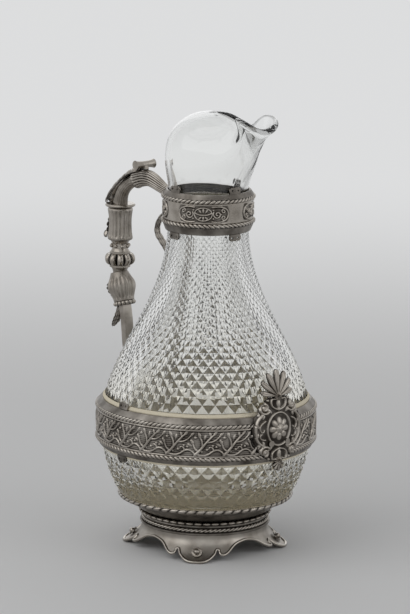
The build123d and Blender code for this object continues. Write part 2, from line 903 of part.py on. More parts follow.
# Leaf hanging under the frame
with BuildPart() as medallion_pendant:
    revolve(medallion_shell(relief_inner, relief_outer - 0.3, pendant_tip, pendant_head), axis=Axis.Z)
    with BuildSketch(front):
        for fan in (-38.0, 0.0, 38.0):
            length = pendant_length * cos(radians(0.6 * fan))
            leaf_y = 0.5 * length * sin(radians(fan))
            leaf_z = pendant_head - 0.5 * length * cos(radians(fan))
            with Locations(Location((leaf_y, leaf_z, 0), (0, 0, fan))):
                Ellipse(2.4, length / 2)
        with Locations((0, pendant_head - 1.2)):
            Ellipse(5.5, 1.8)
    extrude(amount=relief_depth, mode=Mode.INTERSECT)
medallion_pendant.part.label = "medallion_pendant"
export_step(medallion_pendant.part, "parts/medallion_pendant.step")

with BuildPart() as medallion_screws:
    for angle in (-medallion_screw_angle, medallion_screw_angle):
        with Locations(direction_plane(angle, plate_outer + seat_gap, medallion_screw_height)):
            Cylinder(screw_head_radius, screw_head_thickness, align=outwards)
            Cylinder(
                screw_radius,
                plate_outer + seat_gap - waist_bore - shank_setback,
                align=inwards,
            )
medallion_screws.part.label = "medallion_screws"
export_step(medallion_screws.part, "parts/medallion_screws.step")


# Collar
socket_screw_angles = (180 - socket_screw_angle, 180 + socket_screw_angle)
with BuildPart() as collar_band:
    revolve(
        frieze_section(collar_frieze_radius, collar_wall, collar_frieze_bottom, collar_frieze_top),
        axis=Axis.Z,
    )
    for angle in socket_screw_angles:
        with Locations(direction_plane(angle, collar_frieze_radius, socket_screw_height)):
            Cylinder(screw_radius + bore_gap, screw_drill, mode=Mode.SUBTRACT)
collar_band.part.label = "collar_band"
export_step(collar_band.part, "parts/collar_band.step")

with BuildPart() as collar_rope_upper:
    revolve(
        rope_section(collar_bore, collar_rope_radius, collar_frieze_top, collar_rope_thickness),
        axis=Axis.Z,
    )
collar_rope_upper.part.label = "collar_rope_upper"
export_step(collar_rope_upper.part, "parts/collar_rope_upper.step")

with BuildPart() as collar_rope_lower:
    revolve(rope_section(collar_bore, collar_rope_radius, collar_bottom, collar_rope_thickness), axis=Axis.Z)
collar_rope_lower.part.label = "collar_rope_lower"
export_step(collar_rope_lower.part, "parts/collar_rope_lower.step")

collar_flange_top = collar_top + collar_flange_height
collar_flange_end = neck_radius + flange_gap
with BuildPart() as collar_flange_upper:
    revolve(
        flange_section(collar_rope_radius - 1.0, collar_flange_end, collar_top, collar_flange_top),
        axis=Axis.Z,
    )
collar_flange_upper.part.label = "collar_flange_upper"
export_step(collar_flange_upper.part, "parts/collar_flange_upper.step")

collar_skirt_bottom = collar_bottom - collar_skirt_height
collar_skirt_end = curve_radius(body_curve, collar_skirt_bottom) + flange_gap
with BuildPart() as collar_flange_lower:
    revolve(
        flange_section(collar_rope_radius - 1.0, collar_skirt_end, collar_bottom, collar_skirt_bottom),
        axis=Axis.Z,
    )
collar_flange_lower.part.label = "collar_flange_lower"
export_step(collar_flange_lower.part, "parts/collar_flange_lower.step")

collar_packing_outer = collar_bore - bore_gap
collar_packing_inner = curve_radius(body_curve, collar_frieze_bottom) + seat_gap
with BuildPart() as collar_packing:
    revolve(
        frieze_section(
            collar_packing_outer,
            collar_packing_outer - collar_packing_inner,
            collar_frieze_bottom + 1,
            collar_frieze_top - 1,
        ),
        axis=Axis.Z,
    )
collar_packing.part.label = "collar_packing"
export_step(collar_packing.part, "parts/collar_packing.step")

# Strapwork panels on the collar, each with a pair of ringed roundels
panel_inner = collar_frieze_radius + bore_gap
roundel_face = panel_inner + 1.2 * cartouche_relief
with BuildPart() as collar_cartouches:
    for middle in (45, 135, 225, 315):
        with BuildSketch(Plane.XZ.rotated((0, 0, middle - cartouche_angle / 2))):
            with Locations((panel_inner + cartouche_relief / 2, collar_centre)):
                Rectangle(cartouche_relief, 0.55 * cartouche_height)
        revolve(axis=Axis.Z, revolution_arc=cartouche_angle)
        for turn in (-roundel_angle, roundel_angle):
            with Locations(direction_plane(middle + turn, panel_inner, collar_centre)):
                Cylinder(roundel_radius, 2 * cartouche_relief, align=outwards)
        for turn in (-0.5 * cartouche_angle + 6, 0, 0.5 * cartouche_angle - 6):
            with Locations(direction_plane(middle + turn, panel_inner, collar_centre)):
                Cylinder(0.42 * cartouche_height, 1.2 * cartouche_relief, align=outwards)
        for turn in (-roundel_angle, roundel_angle):
            with Locations(direction_plane(middle + turn, roundel_face, collar_centre)):
                Cylinder(0.6 * roundel_radius, 2 * cartouche_relief, align=outwards, mode=Mode.SUBTRACT)
    # Room for the curve of the band behind the flat roundels
    with BuildSketch(Plane.XY.offset(collar_frieze_bottom)):
        Circle(panel_inner)
    extrude(amount=collar_frieze_height, mode=Mode.SUBTRACT)
collar_cartouches.part.label = "collar_cartouches"
export_step(collar_cartouches.part, "parts/collar_cartouches.step")

collar_tab_angles = (-90, 0, 90)
with BuildPart() as collar_tabs_upper:
    for angle in collar_tab_angles:
        extrude(scrolled_tab(angle, collar_flange_end, collar_flange_top, True, 0), amount=tab_wall)
collar_tabs_upper.part.label = "collar_tabs_upper"
export_step(collar_tabs_upper.part, "parts/collar_tabs_upper.step")

with BuildPart() as collar_tabs_lower:
    for angle in collar_tab_angles:
        extrude(
            scrolled_tab(angle, collar_skirt_end + 0.2, collar_skirt_bottom, False, 0), amount=tab_wall
        )
collar_tabs_lower.part.label = "collar_tabs_lower"
export_step(collar_tabs_lower.part, "parts/collar_tabs_lower.step")


# Handle
grip = Plane(origin=(-grip_reach, 0, 0), x_dir=(1, 0, 0), z_dir=(0, -1, 0))
grip_axis = Axis((-grip_reach, 0, 0), (0, 0, 1))


def ribbed_section(place, heading, radius, ribs, depth):
    """Petal outline square to its heading, with rounded ribs all round."""
    plane = Plane(origin=(place[0], 0, place[1]), x_dir=(0, 1, 0), z_dir=(heading[0], 0, heading[1]))
    with BuildSketch(plane) as section:
        with BuildLine():
            points = []
            for k in range(2 * ribs):
                reach = radius - depth * (k % 2)
                points.append((reach * cos(pi * k / ribs), reach * sin(pi * k / ribs)))
            Spline(*points, periodic=True)
        make_face()
    return section.sketch


def round_section(place, heading, radius):
    """Circle square to its heading."""
    plane = Plane(origin=(place[0], 0, place[1]), x_dir=(0, 1, 0), z_dir=(heading[0], 0, heading[1]))
    with BuildSketch(plane) as section:
        Circle(radius)
    return section.sketch


def ribbon_section(points, wall, start, end):
    """Side view of a bent strap: a curve thickened by its wall."""
    with BuildSketch(Plane.XZ) as section:
        with BuildLine():
            middle = Spline(*points, tangents=(start, end), tangent_scalars=(1, 1), mode=Mode.PRIVATE)
            outer = []
            inner = []
            for k in range(ribbon_steps + 1):
                place = middle @ (k / ribbon_steps)
                along = middle % (k / ribbon_steps)
                across = Vector(-along.Y, along.X) * (wall / 2)
                outer.append(place + across)
                inner.append(place - across)
            Spline(*outer)
            Line(outer[-1], inner[-1])
            Spline(*inner[::-1])
            Line(inner[0], outer[0])
        make_face()
    return section.sketch


def turned_section(plane, profile, bore):
    """Half section of a turned member: its outline closed on its bore."""
    with BuildSketch(plane) as section:
        with BuildLine():
            Spline(*profile)
            Line(profile[-1], (bore, profile[-1][1]))
            Line((bore, profile[-1][1]), (bore, profile[0][1]))
            Line((bore, profile[0][1]), profile[0])
        make_face()
    return section.sketch


def leaf_shell(plane, profile, gap, wall):
    """Half section of a leaf lying on a turned member."""
    with BuildSketch(plane) as section:
        with BuildLine():
            inner = [(r + gap, h) for r, h in profile]
            outer = [(r + gap + wall, h) for r, h in profile]
            Spline(*inner)
            Line(inner[-1], outer[-1])
            Spline(*outer[::-1])
            Line(outer[0], inner[0])
        make_face()
    return section.sketch


def leaf_outline(plane, top, tip, half_width):
    """Leaf seen from outside: narrow stem, full middle and rounded tip."""
    length = top - tip
    with BuildSketch(plane) as outline:
        with BuildLine():
            half = Spline(
                (0, top),
                (0.45 * half_width, top - 0.06 * length),
                (0.8 * half_width, top - 0.35 * length),
                (half_width, top - 0.62 * length),
                (0.62 * half_width, top - 0.9 * length),
                (0, tip),
                tangents=((1, 0), (-1, 0)),
                tangent_scalars=(1, 1),
            )
            mirror(half, about=Plane.YZ)
        make_face()
    return outline.sketch


# Curved plate on the back of the collar
socket_inner = collar_rope_radius + seat_gap
socket_outer = socket_inner + socket_wall
with BuildPart() as handle_socket:
    revolve(frieze_section(socket_outer, socket_wall, socket_bottom, socket_top), axis=Axis.Z)
    with BuildSketch(direction_plane(180, 0, (socket_bottom + socket_top) / 2)):
        RectangleRounded(socket_width, socket_top - socket_bottom, 0.3 * socket_width)
    extrude(amount=socket_outer + 1, mode=Mode.INTERSECT)
    for angle in socket_screw_angles:
        with Locations(direction_plane(angle, socket_outer, socket_screw_height)):
            Cylinder(screw_radius + bore_gap, screw_drill, mode=Mode.SUBTRACT)
handle_socket.part.label = "handle_socket"
export_step(handle_socket.part, "parts/handle_socket.step")

with BuildPart() as handle_socket_screws:
    for angle in socket_screw_angles:
        with Locations(direction_plane(angle, socket_outer + seat_gap, socket_screw_height)):
            Cylinder(socket_screw_head, 1.0, align=outwards)
            Cylinder(
                screw_radius,
                socket_outer + seat_gap - collar_bore - shank_setback,
                align=inwards,
            )
handle_socket_screws.part.label = "handle_socket_screws"
export_step(handle_socket_screws.part, "parts/handle_socket_screws.step")

# Ribbed horn from the collar to the grip
arm_start = -(socket_outer + seat_gap)


def along_arm(reach_share, height_share):
    """Place between the root and the end of the horn, in side view."""
    reach = arm_start - reach_share * (arm_end_reach + arm_start)
    return (reach, arm_root_height + height_share * (arm_end_height - arm_root_height))


arm_stations = [
    (along_arm(0, 0), (-1.0, 0.0), arm_root_radius),
    (along_arm(0.18, 0.17), (-0.97, 0.25), arm_waist_radius),
    (along_arm(0.4, 0.69), (-0.92, 0.4), arm_waist_radius + 0.4),
    (along_arm(0.68, 1.34), (-0.98, 0.2), arm_end_radius - 0.9),
    (along_arm(1, 1), (-0.97, -0.24), arm_end_radius),
]
with BuildPart() as handle_arm:
    horn = []
    for place, heading, radius in arm_stations:
        horn.append(ribbed_section(place, heading, radius, arm_ribs, 0.12 * radius))
    loft(horn)
handle_arm.part.label = "handle_arm"
export_step(handle_arm.part, "parts/handle_arm.step")

# Neck that turns from the horn down into the grip, bored for the rod
elbow_base = abacus_height + abacus_thickness


def along_elbow(reach_share, height_share):
    """Place between the end of the horn and the grip, in side view."""
    reach = arm_end_reach + reach_share * (grip_reach - arm_end_reach)
    return (-reach, arm_end_height - height_share * (arm_end_height - elbow_base))


elbow_stations = [
    (along_elbow(0, 0), (-0.97, -0.24), elbow_radius),
    (along_elbow(0.333, 0.121), (-0.88, -0.47), elbow_radius - 0.5),
    (along_elbow(0.636, 0.328), (-0.71, -0.71), elbow_radius - 0.8),
    (along_elbow(0.903, 0.662), (-0.42, -0.91), elbow_radius - 0.7),
    (along_elbow(1, 1), (0, -1), elbow_radius),
]
with BuildPart() as handle_elbow:
    loft([round_section(place, heading, radius) for place, heading, radius in elbow_stations])
    with BuildSketch(Plane.XY.offset(elbow_base)):
        with Locations((-grip_reach, 0)):
            Circle(rod_bore)
    extrude(amount=rod_top + 0.3 - elbow_base, mode=Mode.SUBTRACT)
handle_elbow.part.label = "handle_elbow"
export_step(handle_elbow.part, "parts/handle_elbow.step")

# Rolled thumb rest lying across the horn, on a narrow foot
with BuildPart() as handle_scroll:
    with BuildSketch(Plane(origin=(-scroll_reach, 0, scroll_height), x_dir=(0, 1, 0), z_dir=(1, 0, 0))):
        with BuildLine():
            Spline(
                (-scroll_length / 2, scroll_radius + 0.9),
                (-scroll_length / 2 + 2.5, scroll_radius + 0.3),
                (0, scroll_radius),
                (scroll_length / 2 - 2.5, scroll_radius + 0.3),
                (scroll_length / 2, scroll_radius + 0.9),
            )
            Polyline(
                (scroll_length / 2, scroll_radius + 0.9),
                (scroll_length / 2, 0),
                (-scroll_length / 2, 0),
                (-scroll_length / 2, scroll_radius + 0.9),
            )
        make_face()
    revolve(axis=Axis((-scroll_reach, 0, scroll_height), (0, 1, 0)))
    with BuildSketch(Plane.XZ):
        with BuildLine():
            Polyline(
                (-scroll_reach - 1.6, scroll_height),
                (-scroll_reach - 1.2, scroll_seat),
                (-scroll_reach + 3.4, scroll_seat + 0.3),
                (-scroll_reach + 1.8, scroll_height),
                close=True,
            )
        make_face()
    extrude(amount=scroll_foot_width / 2, both=True)
handle_scroll.part.label = "handle_scroll"
export_step(handle_scroll.part, "parts/handle_scroll.step")

# Leaf strap from the thumb rest over the neck, curled out at its tip
with BuildPart() as handle_leaf:
    extrude(
        ribbon_section(
            [
                (-scroll_reach - 2.3, scroll_height - 1.9),
                (-arm_end_reach - 2.0, arm_end_height + 6.9),
                (-arm_end_reach - 14.0, arm_end_height - 0.2),
                (-grip_reach - 6.5, elbow_base + 10.0),
                (-grip_reach - 11.9, elbow_base + 2.9),
                (-grip_reach - 15.1, elbow_base + 1.0),
            ],
            leaf_wall,
            (-1, -0.3),
            (-1, 0.2),
        ),
        amount=leaf_width / 2,
        both=True,
    )
    with BuildSketch(Plane.XY.offset(elbow_base - 3.6)):
        with BuildLine():
            half = Spline(
                (-scroll_reach - 1.0, 0.44 * leaf_width),
                (-arm_end_reach - 2.0, 0.5 * leaf_width),
                (-arm_end_reach - 14.0, 0.3 * leaf_width),
                (-grip_reach - 5.5, 0.27 * leaf_width),
                (-grip_reach - 12.0, 0.36 * leaf_width),
                (-grip_reach - 16.5, 0.0),
                tangents=((-1, 0.2), (0, -1)),
                tangent_scalars=(1, 1),
            )
            mirror(half, about=Plane.XZ)
            Line((-scroll_reach - 1.0, 0.44 * leaf_width), (-scroll_reach - 1.0, -0.44 * leaf_width))
        make_face()
    extrude(amount=40, mode=Mode.INTERSECT)
handle_leaf.part.label = "handle_leaf"
export_step(handle_leaf.part, "parts/handle_leaf.step")

# Scroll under the horn, ending in a leaf
with BuildPart() as handle_bracket:
    extrude(
        ribbon_section(
            [
                (arm_start, collar_centre - 5.6),
                (arm_start - 11.7, collar_centre - 10.2),
                (arm_start - 20.3, collar_centre - 18.6),
                (arm_start - 21.3, collar_centre - 25.1),
                (arm_start - 16.1, collar_centre - 30.8),
                (arm_start - 10.3, collar_centre - 38.0),
            ],
            bracket_wall,
            (-1, 0),
            (0.3, -1),
        ),
        amount=bracket_width / 2,
        both=True,
    )
    with Locations((arm_start - 22.3, 0, collar_centre - 24.1)):
        Sphere(bracket_width / 2)
handle_bracket.part.label = "handle_bracket"
export_step(handle_bracket.part, "parts/handle_bracket.step")

with BuildPart() as handle_abacus:
    revolve(
        turned_section(
            grip,
            [
                (abacus_radius - 0.8, abacus_height),
                (abacus_radius, abacus_height + 0.5 * abacus_thickness),
                (abacus_radius - 0.8, abacus_height + abacus_thickness),
            ],
            rod_bore,
        ),
        axis=grip_axis,
    )
handle_abacus.part.label = "handle_abacus"
export_step(handle_abacus.part, "parts/handle_abacus.step")

upper_profile = [
    (upper_baluster_radius - 2.2, abacus_height),
    (upper_baluster_radius - 0.4, abacus_height - 1.1),
    (upper_baluster_radius - 0.1, abacus_height - 4.6),
    (upper_baluster_radius - 0.6, upper_baluster_bottom + 11.4),
    (upper_baluster_radius - 0.2, upper_baluster_bottom + 4.4),
    (upper_baluster_radius + 0.1, upper_baluster_bottom + 1.9),
    (upper_baluster_radius, upper_baluster_bottom + 0.8),
    (upper_baluster_radius - 1.6, upper_baluster_bottom),
]
flute_reach = upper_baluster_radius + flute_radius - 0.7
with BuildPart() as handle_upper_baluster:
    revolve(turned_section(grip, upper_profile, rod_bore), axis=grip_axis)
    with BuildSketch(Plane.XY.offset(upper_baluster_bottom + 3.0)):
        with Locations((-grip_reach, 0)):
            with PolarLocations(flute_reach, flute_count, start_angle=180 / flute_count):
                Circle(flute_radius)
    extrude(amount=upper_baluster_height - 6.0, mode=Mode.SUBTRACT)
handle_upper_baluster.part.label = "handle_upper_baluster"
export_step(handle_upper_baluster.part, "parts/handle_upper_baluster.step")

# Leaf on the outer side of the upper baluster
outside = Plane(origin=(-grip_reach, 0, 0), x_dir=(0, -1, 0), z_dir=(-1, 0, 0))
with BuildPart() as handle_upper_leaf:
    revolve(leaf_shell(grip, upper_profile[2:7], seat_gap, leaf_relief), axis=grip_axis)
    extrude(
        leaf_outline(outside, abacus_height - 4.8, upper_baluster_bottom + 1.2, 7.4),
        amount=upper_baluster_radius + 5,
        mode=Mode.INTERSECT,
    )
    with Locations((-grip_reach - upper_baluster_radius - 1.9, 0, upper_baluster_bottom + 3.6)):
        Cylinder(curl_radius, 6.0, rotation=(90, 0, 0))
handle_upper_leaf.part.label = "handle_upper_leaf"
export_step(handle_upper_leaf.part, "parts/handle_upper_leaf.step")

with BuildPart() as handle_upper_spool:
    revolve(
        turned_section(
            grip,
            [
                (upper_spool_radius + 1.8, upper_baluster_bottom),
                (upper_spool_radius + 0.5, upper_baluster_bottom - 2.0),
                (upper_spool_radius, (upper_baluster_bottom + upper_spool_bottom) / 2),
                (upper_spool_radius + 0.3, upper_spool_bottom + 2.0),
                (upper_spool_radius + 1.4, upper_spool_bottom),
            ],
            rod_bore,
        ),
        axis=grip_axis,
    )
    pearl_height = (upper_baluster_bottom + upper_spool_bottom) / 2
    with BuildSketch(Plane.XY.offset(pearl_height - pearl_radius - 0.2)):
        with Locations((-grip_reach, 0)):
            Circle(upper_spool_radius + 0.6)
            Circle(rod_bore, mode=Mode.SUBTRACT)
    extrude(amount=2 * pearl_radius + 0.4)
    with Locations((-grip_reach, 0, pearl_height)):
        with PolarLocations(upper_spool_radius + 0.9, pearl_count, start_angle=180 / pearl_count):
            Sphere(pearl_radius)
handle_upper_spool.part.label = "handle_upper_spool"
export_step(handle_upper_spool.part, "parts/handle_upper_spool.step")

with BuildPart() as handle_knop_plates:
    for bottom in (knop_top, lower_spool_top):
        with BuildSketch(Plane.XY.offset(bottom)):
            with Locations((-grip_reach, 0)):
                Circle(knop_plate_radius)
                Circle(rod_bore, mode=Mode.SUBTRACT)
        extrude(amount=knop_plate_thickness)
handle_knop_plates.part.label = "handle_knop_plates"
export_step(handle_knop_plates.part, "parts/handle_knop_plates.step")

# Knop with upright lobes
with BuildPart() as handle_knop:
    revolve(
        turned_section(
            grip,
            [
                (knop_plate_radius - 1.2, knop_top),
                (0.9 * knop_radius, knop_top - 0.18 * knop_height),
                (knop_radius, knop_top - 0.5 * knop_height),
                (0.9 * knop_radius, knop_bottom + 0.18 * knop_height),
                (knop_plate_radius - 1.2, knop_bottom),
            ],
            rod_bore,
        ),
        axis=grip_axis,
    )
    with BuildSketch(Plane.XY.offset(knop_bottom)):
        with Locations((-grip_reach, 0)):
            Circle(0.8 * knop_radius)
            with PolarLocations(0.79 * knop_radius, knop_lobes):
                Circle(0.215 * knop_radius)
    extrude(amount=knop_height, mode=Mode.INTERSECT)
handle_knop.part.label = "handle_knop"
export_step(handle_knop.part, "parts/handle_knop.step")

with BuildPart() as handle_lower_spool:
    revolve(
        turned_section(
            grip,
            [
                (lower_spool_radius + 1.6, lower_spool_top),
                (lower_spool_radius, lower_spool_bottom + 0.5 * lower_spool_height),
                (lower_spool_radius + 0.6, lower_spool_bottom),
            ],
            rod_bore,
        ),
        axis=grip_axis,
    )
handle_lower_spool.part.label = "handle_lower_spool"
export_step(handle_lower_spool.part, "parts/handle_lower_spool.step")

# The lower baluster leans in towards the body; its own height runs up its
# axis from the joint with the spool.
lean_x = sin(radians(lower_lean))
lean_z = cos(radians(lower_lean))
joint = (-grip_reach, 0, lower_spool_bottom)
lean = Plane(origin=joint, x_dir=(lean_z, 0, lean_x), z_dir=(0, -1, 0))
lean_axis = Axis(joint, (-lean_x, 0, lean_z))
lean_outside = Plane(origin=joint, x_dir=(0, -1, 0), z_dir=(-lean_z, 0, -lean_x))
lower_profile = [
    (0.62 * lower_baluster_radius, 2.6),
    (0.8 * lower_baluster_radius, -1.5),
    (lower_baluster_radius, -6.2),
    (0.93 * lower_baluster_radius, -11.0),
    (0.75 * lower_baluster_radius, -16.5),
    (0.73 * lower_baluster_radius, -lower_baluster_length),
]
with BuildPart() as handle_lower_baluster:
    revolve(turned_section(lean, lower_profile, 0.0), axis=lean_axis)
    split(bisect_by=Plane.XY.offset(lower_spool_bottom), keep=Keep.BOTTOM)
    with BuildSketch(Plane.XY.offset(rod_bottom - 0.3)):
        with Locations((-grip_reach, 0)):
            Circle(rod_bore)
    extrude(amount=lower_spool_bottom - rod_bottom + 2, mode=Mode.SUBTRACT)
handle_lower_baluster.part.label = "handle_lower_baluster"
export_step(handle_lower_baluster.part, "parts/handle_lower_baluster.step")

with BuildPart() as handle_lower_leaf:
    revolve(leaf_shell(lean, lower_profile[1:5], seat_gap, leaf_relief), axis=lean_axis)
    extrude(
        leaf_outline(lean_outside, -2.0, -lower_baluster_length + 2.0, 6.6),
        amount=lower_baluster_radius + 5,
        mode=Mode.INTERSECT,
    )
handle_lower_leaf.part.label = "handle_lower_leaf"
export_step(handle_lower_leaf.part, "parts/handle_lower_leaf.step")

# Beaded ring closing the lower baluster
ring_start = -lower_baluster_length
ring_end = ring_start - lower_ring_thickness
with BuildPart() as handle_lower_ring:
    revolve(
        turned_section(
            lean,
            [
                (lower_ring_radius - 1.0, ring_start),
                (lower_ring_radius - 0.3, ring_start - 0.5 * lower_ring_thickness),
                (lower_ring_radius - 1.0, ring_end),
            ],
            0.0,
        ),
        axis=lean_axis,
    )
    bead_plane = Plane(origin=joint, x_dir=(0, 1, 0), z_dir=(-lean_x, 0, lean_z))
    with Locations(bead_plane.offset(ring_start - 0.5 * lower_ring_thickness)):
        with PolarLocations(lower_ring_radius - 0.5 * lower_ring_thickness, lower_ring_beads):
            Sphere(0.5 * lower_ring_thickness)
handle_lower_ring.part.label = "handle_lower_ring"
export_step(handle_lower_ring.part, "parts/handle_lower_ring.step")


def lean_point(reach, height):
    """Place in side view of a point given in the leaning frame."""
    place = lean.from_local_coords((reach, height, 0))
    return (place.X, place.Z)


# Tapering strap down to the waist band
tail_end = -(plate_inner + tail_plate_wall + seat_gap)
tail_start = lean_point(0, ring_end)
tail_line = [tail_start]
for reach_share, height_share in ((0.26, 0.38), (0.45, 0.7), (0.615, 0.88), (1.0, 1.0)):
    tail_x = tail_start[0] + reach_share * (tail_end - tail_start[0])
    tail_z = tail_start[1] + height_share * (tail_foot_height - tail_start[1])
    tail_line.append((tail_x, tail_z))
with BuildPart() as handle_tail:
    extrude(
        ribbon_section(
            tail_line,
            tail_thickness,
            (lean_x, -lean_z),
            (1, 0),
        ),
        amount=tail_width / 2,
        both=True,
    )
handle_tail.part.label = "handle_tail"
export_step(handle_tail.part, "parts/handle_tail.step")

# Leaf hanging from the ring
drop_x, drop_z = lean_point(1.7 - lower_ring_radius, ring_end)
with BuildPart() as handle_drop:
    extrude(
        ribbon_section(
            [
                (drop_x, drop_z),
                (drop_x - 1.2, drop_z - 5.6),
                (drop_x - 4.0, drop_z - 11.1),
                (drop_x - 7.2, drop_z - 14.9),
            ],
            drop_wall,
            (lean_x, -lean_z),
            (-1, -0.6),
        ),
        amount=drop_width / 2,
        both=True,
    )
handle_drop.part.label = "handle_drop"
export_step(handle_drop.part, "parts/handle_drop.step")

tail_screw_seat = plate_inner + tail_plate_wall
with BuildPart() as handle_tail_plate:
    revolve(
        frieze_section(tail_screw_seat, tail_plate_wall, tail_plate_bottom, tail_plate_top), axis=Axis.Z
    )
    with BuildSketch(direction_plane(180, 0, (tail_plate_bottom + tail_plate_top) / 2)):
        RectangleRounded(tail_plate_width, tail_plate_top - tail_plate_bottom, 0.3 * tail_plate_width)
    extrude(amount=tail_screw_seat + 1, mode=Mode.INTERSECT)
    for height in tail_screw_heights:
        with Locations(direction_plane(180, plate_inner, height)):
            Cylinder(screw_radius + bore_gap, screw_drill, mode=Mode.SUBTRACT)
handle_tail_plate.part.label = "handle_tail_plate"
export_step(handle_tail_plate.part, "parts/handle_tail_plate.step")

with BuildPart() as handle_tail_screws:
    for height in tail_screw_heights:
        with Locations(direction_plane(180, tail_screw_seat + seat_gap, height)):
            Cylinder(screw_head_radius, screw_head_thickness, align=outwards)
            Cylinder(
                screw_radius,
                tail_screw_seat + seat_gap - waist_bore - shank_setback,
                align=inwards,
            )
handle_tail_screws.part.label = "handle_tail_screws"
export_step(handle_tail_screws.part, "parts/handle_tail_screws.step")

# Rod that ties the turned members together
with BuildPart() as handle_rod:
    with BuildSketch(Plane.XY.offset(rod_bottom)):
        with Locations((-grip_reach, 0)):
            Circle(rod_radius)
    extrude(amount=rod_top - rod_bottom)
handle_rod.part.label = "handle_rod"
export_step(handle_rod.part, "parts/handle_rod.step")
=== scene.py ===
import bpy
import json
import math
import numpy as np
from mathutils import Matrix, Vector


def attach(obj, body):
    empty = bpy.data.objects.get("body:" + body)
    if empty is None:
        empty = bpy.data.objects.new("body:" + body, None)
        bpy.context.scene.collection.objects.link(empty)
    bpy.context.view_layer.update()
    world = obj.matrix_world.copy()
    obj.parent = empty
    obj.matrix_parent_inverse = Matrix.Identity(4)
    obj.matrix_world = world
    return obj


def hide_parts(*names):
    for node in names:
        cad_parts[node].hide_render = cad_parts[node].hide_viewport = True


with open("model.json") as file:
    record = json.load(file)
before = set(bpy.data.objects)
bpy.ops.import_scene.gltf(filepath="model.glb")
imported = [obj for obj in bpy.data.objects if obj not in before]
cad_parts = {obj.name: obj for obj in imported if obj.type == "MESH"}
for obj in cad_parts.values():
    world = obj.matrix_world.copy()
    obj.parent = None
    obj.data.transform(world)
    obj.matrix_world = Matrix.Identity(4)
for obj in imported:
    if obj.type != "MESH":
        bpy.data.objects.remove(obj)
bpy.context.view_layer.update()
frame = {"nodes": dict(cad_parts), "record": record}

mm = 0.001  # every measure below is in millimetres
nodes = frame["nodes"]
turn = 2 * np.pi
print("frame loaded:", len(nodes), "nodes")


# Surfaces

def around(count):
    # even angles of one turn, as a row
    return (np.arange(count) * turn / count)[None, :]


def unit(vectors):
    # the same directions, one long
    return vectors / np.linalg.norm(vectors, axis=-1, keepdims=True)


def summed(steps):
    # distance reached after each step
    return np.concatenate([[0], np.cumsum(steps)])


def splineWeights(knots, samples):
    # natural cubic spline as a matrix: second derivatives come from the tridiagonal
    # continuity equations, then each sample blends its two knots and their bends
    knots, samples = np.asarray(knots, float), np.asarray(samples, float)
    n = len(knots)
    step = np.diff(knots)
    bend = np.eye(n)
    pull = np.zeros((n, n))
    inside = np.arange(1, n - 1)
    bend[inside, inside - 1] = step[:-1]
    bend[inside, inside] = 2 * (step[:-1] + step[1:])
    bend[inside, inside + 1] = step[1:]
    pull[inside, inside - 1] = 6 / step[:-1]
    pull[inside, inside] = -6 / step[:-1] - 6 / step[1:]
    pull[inside, inside + 1] = 6 / step[1:]
    second = np.linalg.solve(bend, pull)
    seat = np.clip(np.searchsorted(knots, samples, side="right") - 1, 0, n - 2)
    h = step[seat]
    a = ((knots[seat + 1] - samples) / h)[:, None]
    b = 1 - a
    unit = np.eye(n)
    h2 = (h ** 2 / 6)[:, None]
    bends = (a ** 3 - a) * second[seat] + (b ** 3 - b) * second[seat + 1]
    return a * unit[seat] + b * unit[seat + 1] + h2 * bends


def smoothCurve(points, count):
    # cubic spline through the points, parameter is the length of the chords
    points = np.asarray(points, float)
    chords = summed(np.linalg.norm(np.diff(points, axis=0), axis=1))
    return splineWeights(chords, np.linspace(0, chords[-1], count)) @ points


def evenSteps(points, count):
    # the same line cut into steps of equal length
    reach = summed(np.linalg.norm(np.diff(points, axis=0), axis=1))
    at = np.linspace(0, reach[-1], count)
    return np.stack([np.interp(at, reach, points[:, k]) for k in range(points.shape[1])], axis=1)


def smoothStep(x, low, high):
    # 0 below low, 1 above high, and a cubic with level ends between them
    t = np.clip((x - low) / (high - low), 0, 1)
    return t * t * (3 - 2 * t)


def turned(radius, angle, height):
    # points from a radius, an angle and a height round the upright axis
    return np.stack([radius * np.cos(angle), radius * np.sin(angle), height + 0 * radius * angle], axis=-1)


